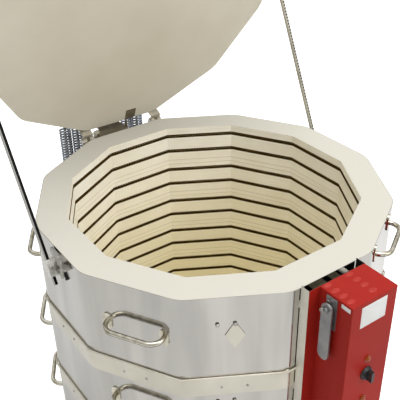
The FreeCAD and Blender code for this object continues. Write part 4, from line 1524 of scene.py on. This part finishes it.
@dataclass
class BoxLabels:
    """The blank plates and the pressed dimples of the switch box."""

    thick_mm: float = 0.4
    corner_mm: float = 1.6
    edge_mm: float = 0.12
    front_mm: tuple[float, float] = (74.0, 55.0)
    front_place_mm: tuple[float, float] = (-1.0, 38.5)
    side_mm: tuple[float, float] = (25.0, 10.0)
    side_place_mm: tuple[float, float] = (17.5, 10.0)
    dimple_mm: tuple[float, float, float] = (11.0, 7.0, 2.0)
    dimple_sink_mm: float = 0.4
    dimple_columns_mm: tuple[float, float] = (11.0, -51.0)
    dimple_first_mm: float = 6.0
    dimple_step_mm: float = 22.0
    dimple_rows: int = 4

    def plate(self, name: str, size: tuple[float, float], place: Matrix) -> Piece:
        """A thin blank plate with rounded corners.

        Args:
            name: The piece's name.
            size: Width and height in millimetres.
            place: Its place and turn.

        Returns:
            The plate.
        """
        deselect()
        bpy.ops.mesh.primitive_plane_add(size=1.0)
        piece = current()
        piece.scale = (size[0] * MM, size[1] * MM, 1.0)
        settle(piece)
        apply(piece, "BEVEL", width=self.corner_mm * MM, segments=4, affect="VERTICES")
        apply(piece, "SOLIDIFY", thickness=self.thick_mm * MM, offset=1.0)
        apply(piece, "BEVEL", width=self.edge_mm * MM, segments=2, limit_method="ANGLE")
        piece.matrix_world = place
        settle(piece)
        piece.name = name
        return smooth(piece)

    def build(self) -> None:
        """Makes both plates and the two rows of dimples."""
        low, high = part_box("box_hood")
        upright = Matrix.Rotation(QUARTER_TURN, 4, "X")
        across, drop = self.front_place_mm
        front = Matrix.Translation((across * MM, low[1], high[2] - drop * MM)) @ upright
        dressed(
            self.plate("box_front_plate", self.front_mm, front), LABEL_FILM, Body.KILN
        )
        back, drop = self.side_place_mm
        corner = Matrix.Translation((low[0], low[1] + back * MM, high[2] - drop * MM))
        side = corner @ Matrix.Rotation(-QUARTER_TURN, 4, "Z") @ upright
        dressed(
            self.plate("box_side_plate", self.side_mm, side), LABEL_FILM, Body.KILN
        )
        dimples = []
        for x in self.dimple_columns_mm:
            for row in range(self.dimple_rows):
                y = high[1] - (self.dimple_first_mm + self.dimple_step_mm * row) * MM
                deselect()
                bpy.ops.mesh.primitive_uv_sphere_add(
                    segments=20,
                    ring_count=12,
                    radius=1.0,
                    location=(x * MM, y, high[2] - self.dimple_sink_mm * MM),
                )
                dimple = current()
                dimple.scale = [size * MM for size in self.dimple_mm]
                dimples.append(settle(dimple))
        piece = smooth(joined(dimples, "box_top_dimples"), 80)
        # The dimples' lighter red is a painted highlight.
        dressed(piece, DIMPLE_HIGHLIGHT_RED, Body.KILN)


@dataclass
class JacketTrim:
    """Screw heads under both seams of the steel jackets."""

    head_mm: float = 3.2
    high_mm: float = 1.6
    across_mm: tuple[float, float] = (-29.0, 29.0)
    under_mm: float = 28.0
    band_mm: float = 0.9

    def head(self) -> Piece:
        """A domed screw head, facing +X.

        Returns:
            The head, at the origin.
        """
        deselect()
        bpy.ops.mesh.primitive_uv_sphere_add(segments=14, ring_count=8, radius=1.0)
        dome = current()
        dome.scale = (self.high_mm * MM, self.head_mm * MM, self.head_mm * MM)
        return settle(dome)

    def build(self) -> None:
        """Sets a screw pair on each free side of both seam bands."""
        dome = self.head()
        heads = []
        for seam in (1, 2):
            height = KILN.rim - seam * KILN.section - self.under_mm * MM
            for i in range(SIDES):
                if i * SIDE_DEGREES == BOX_SIDE_DEGREES:
                    continue
                for across in self.across_mm:
                    place = on_side(i * SIDE_DEGREES) @ Matrix.Translation(
                        (KILN.jacket + self.band_mm * MM, across * MM, height)
                    )
                    heads.append(copied(dome, place))
        bpy.data.objects.remove(dome)
        dressed(smooth(joined(heads, "band_screws"), 80), ZINC_STEEL, Body.KILN)


@dataclass
class HingeTrim:
    """The shelf's back edge and the narrow guard plate beside it, behind the rim."""

    shelf_mm: tuple[float, float] = (-64.0, 13.0)
    guard_mm: tuple[float, float] = (-97.0, -77.0)
    shelf_reach_mm: float = 34.0
    shelf_low_mm: float = 4.0
    shelf_start_mm: float = 24.0
    edge_mm: float = 0.6
    sheet_mm: float = 2.0
    hinge_y_mm: float = 468.0
    guard_low_mm: float = -24.0
    guard_high_mm: float = 8.0

    def sheet(
        self, name: str, size: tuple[float, float, float], place: tuple[float, float, float]
    ) -> Piece:
        """A small steel sheet with softened edges.

        Args:
            name: The piece's name.
            size: Its three lengths.
            place: Its middle.

        Returns:
            The sheet.
        """
        deselect()
        bpy.ops.mesh.primitive_cube_add(size=1.0, location=place)
        piece = current()
        piece.scale = size
        settle(piece)
        apply(piece, "BEVEL", width=self.edge_mm * MM, segments=2, limit_method="ANGLE")
        piece.name = name
        return smooth(piece)

    def build(self) -> None:
        """Makes the shelf's edge and the guard."""
        start = KILN.axis_y + (self.hinge_y_mm + self.shelf_start_mm) * MM
        low, high = self.shelf_mm
        reach = self.shelf_reach_mm * MM
        shelf = self.sheet(
            "hinge_shelf_edge",
            ((high - low) * MM, reach, self.sheet_mm * MM),
            ((low + high) / 2 * MM, start + reach / 2, KILN.rim - self.shelf_low_mm * MM),
        )
        # The shelf's dark brown is painted shade of the gap under the lid.
        dressed(shelf, HINGE_SHADE_STEEL, Body.KILN)
        low, high = self.guard_mm
        tall = (self.guard_high_mm - self.guard_low_mm) * MM
        guard = self.sheet(
            "hinge_guard",
            ((high - low) * MM, self.sheet_mm * MM, tall),
            (
                (low + high) / 2 * MM,
                KILN.axis_y + self.hinge_y_mm * MM,
                KILN.rim + self.guard_low_mm * MM + tall / 2,
            ),
        )
        dressed(guard, STRAP_STEEL, Body.KILN)


@dataclass
class IsolatorScrews:
    """Bright screw heads on the isolator's plate and on its lever's pivot."""

    plate_mm: tuple[float, float] = (-500.0, -10.0)
    plate_head_mm: tuple[float, float] = (5.2, 2.4)
    lever_mm: tuple[float, float] = (-499.0, -24.0)
    lever_head_mm: tuple[float, float] = (6.0, 2.8)
    slot_mm: float = 1.1
    slot_degrees: float = 35.0
    dome_share: float = 0.45

    def head(self, name: str, place: tuple[float, float, float], radius: float, tall: float) -> Piece:
        """A domed head with a slot, facing -X.

        Args:
            name: The piece's name.
            place: Where its back lies.
            radius: Its radius.
            tall: Its height.

        Returns:
            The head.
        """
        deselect()
        bpy.ops.mesh.primitive_cylinder_add(
            vertices=32,
            radius=radius,
            depth=tall,
            rotation=(0, -QUARTER_TURN, 0),
            location=(place[0] - tall / 2, place[1], place[2]),
        )
        piece = settle(current())
        apply(piece, "BEVEL", width=tall * self.dome_share, segments=4, limit_method="ANGLE")
        deselect()
        bpy.ops.mesh.primitive_cube_add(
            size=1.0,
            location=(place[0] - tall, place[1], place[2]),
            rotation=(math.radians(self.slot_degrees), 0, 0),
        )
        cutter = current()
        cutter.scale = (tall, self.slot_mm * MM, radius * 3)
        settle(cutter)
        apply(piece, "BOOLEAN", object=cutter, operation="DIFFERENCE")
        bpy.data.objects.remove(cutter)
        piece.name = name
        return smooth(piece)

    def build(self) -> None:
        """Sets one screw on the plate and one on the lever."""
        for name, node, place, size, body in (
            ("isolator_plate_screw", "isolator_plate", self.plate_mm, self.plate_head_mm, Body.KILN),
            ("isolator_lever_bolt", "isolator_lever", self.lever_mm, self.lever_head_mm, Body.ISOLATOR),
        ):
            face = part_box(node)[0][0]
            back = (face, KILN.axis_y + place[0] * MM, KILN.rim + place[1] * MM)
            dressed(self.head(name, back, size[0] * MM, size[1] * MM), ZINC_STEEL, body)


@dataclass
class SeamBeads:
    """The rolled bead that edges each locating band, round all twelve sides."""

    bead_mm: float = 2.6
    out_mm: float = 2.8
    rise_mm: float = 4.4
    round_steps: int = 12

    def build(self) -> None:
        """Rolls a bead onto each band."""
        beads = []
        for seam in (1, 2):
            height = KILN.rim - seam * KILN.section + self.rise_mm * MM
            radius = (KILN.jacket + self.out_mm * MM) / math.cos(HALF_SIDE)
            deselect()
            bpy.ops.mesh.primitive_torus_add(
                major_segments=SIDES,
                minor_segments=self.round_steps,
                major_radius=radius,
                minor_radius=self.bead_mm * MM,
                location=(0, KILN.axis_y, height),
                rotation=(0, 0, HALF_SIDE),
            )
            beads.append(settle(current()))
        # The bead's pale colour is a painted highlight.
        dressed(smooth(joined(beads, "seam_beads"), 50), BEAD_HIGHLIGHT_STEEL, Body.KILN)


@dataclass
class CadDress:
    """Materials for the CAD nodes that show as they are."""

    nodes: dict[str, Piece] = field(default_factory=lambda: frame["nodes"])

    def build(self) -> None:
        """Gives every node its finish."""
        for name, piece in self.nodes.items():
            finish = NODE_FINISH[name]
            if not piece.material_slots:
                piece.data.materials.append(finish.material())
            for slot in piece.material_slots:
                slot.material = finish.material()
        LOG.info("dressed %d nodes", len(self.nodes))


def main() -> None:
    """Builds the studio and every piece in order."""
    logging.basicConfig(level=logging.INFO, format="%(name)s: %(message)s")
    Studio().build()
    CadDress().build()
    HeatingElements().build()
    BalanceSprings().build()
    BoxLabels().build()
    JacketTrim().build()
    SeamBeads().build()
    HingeTrim().build()
    IsolatorScrews().build()


if __name__ == "__main__":
    main()
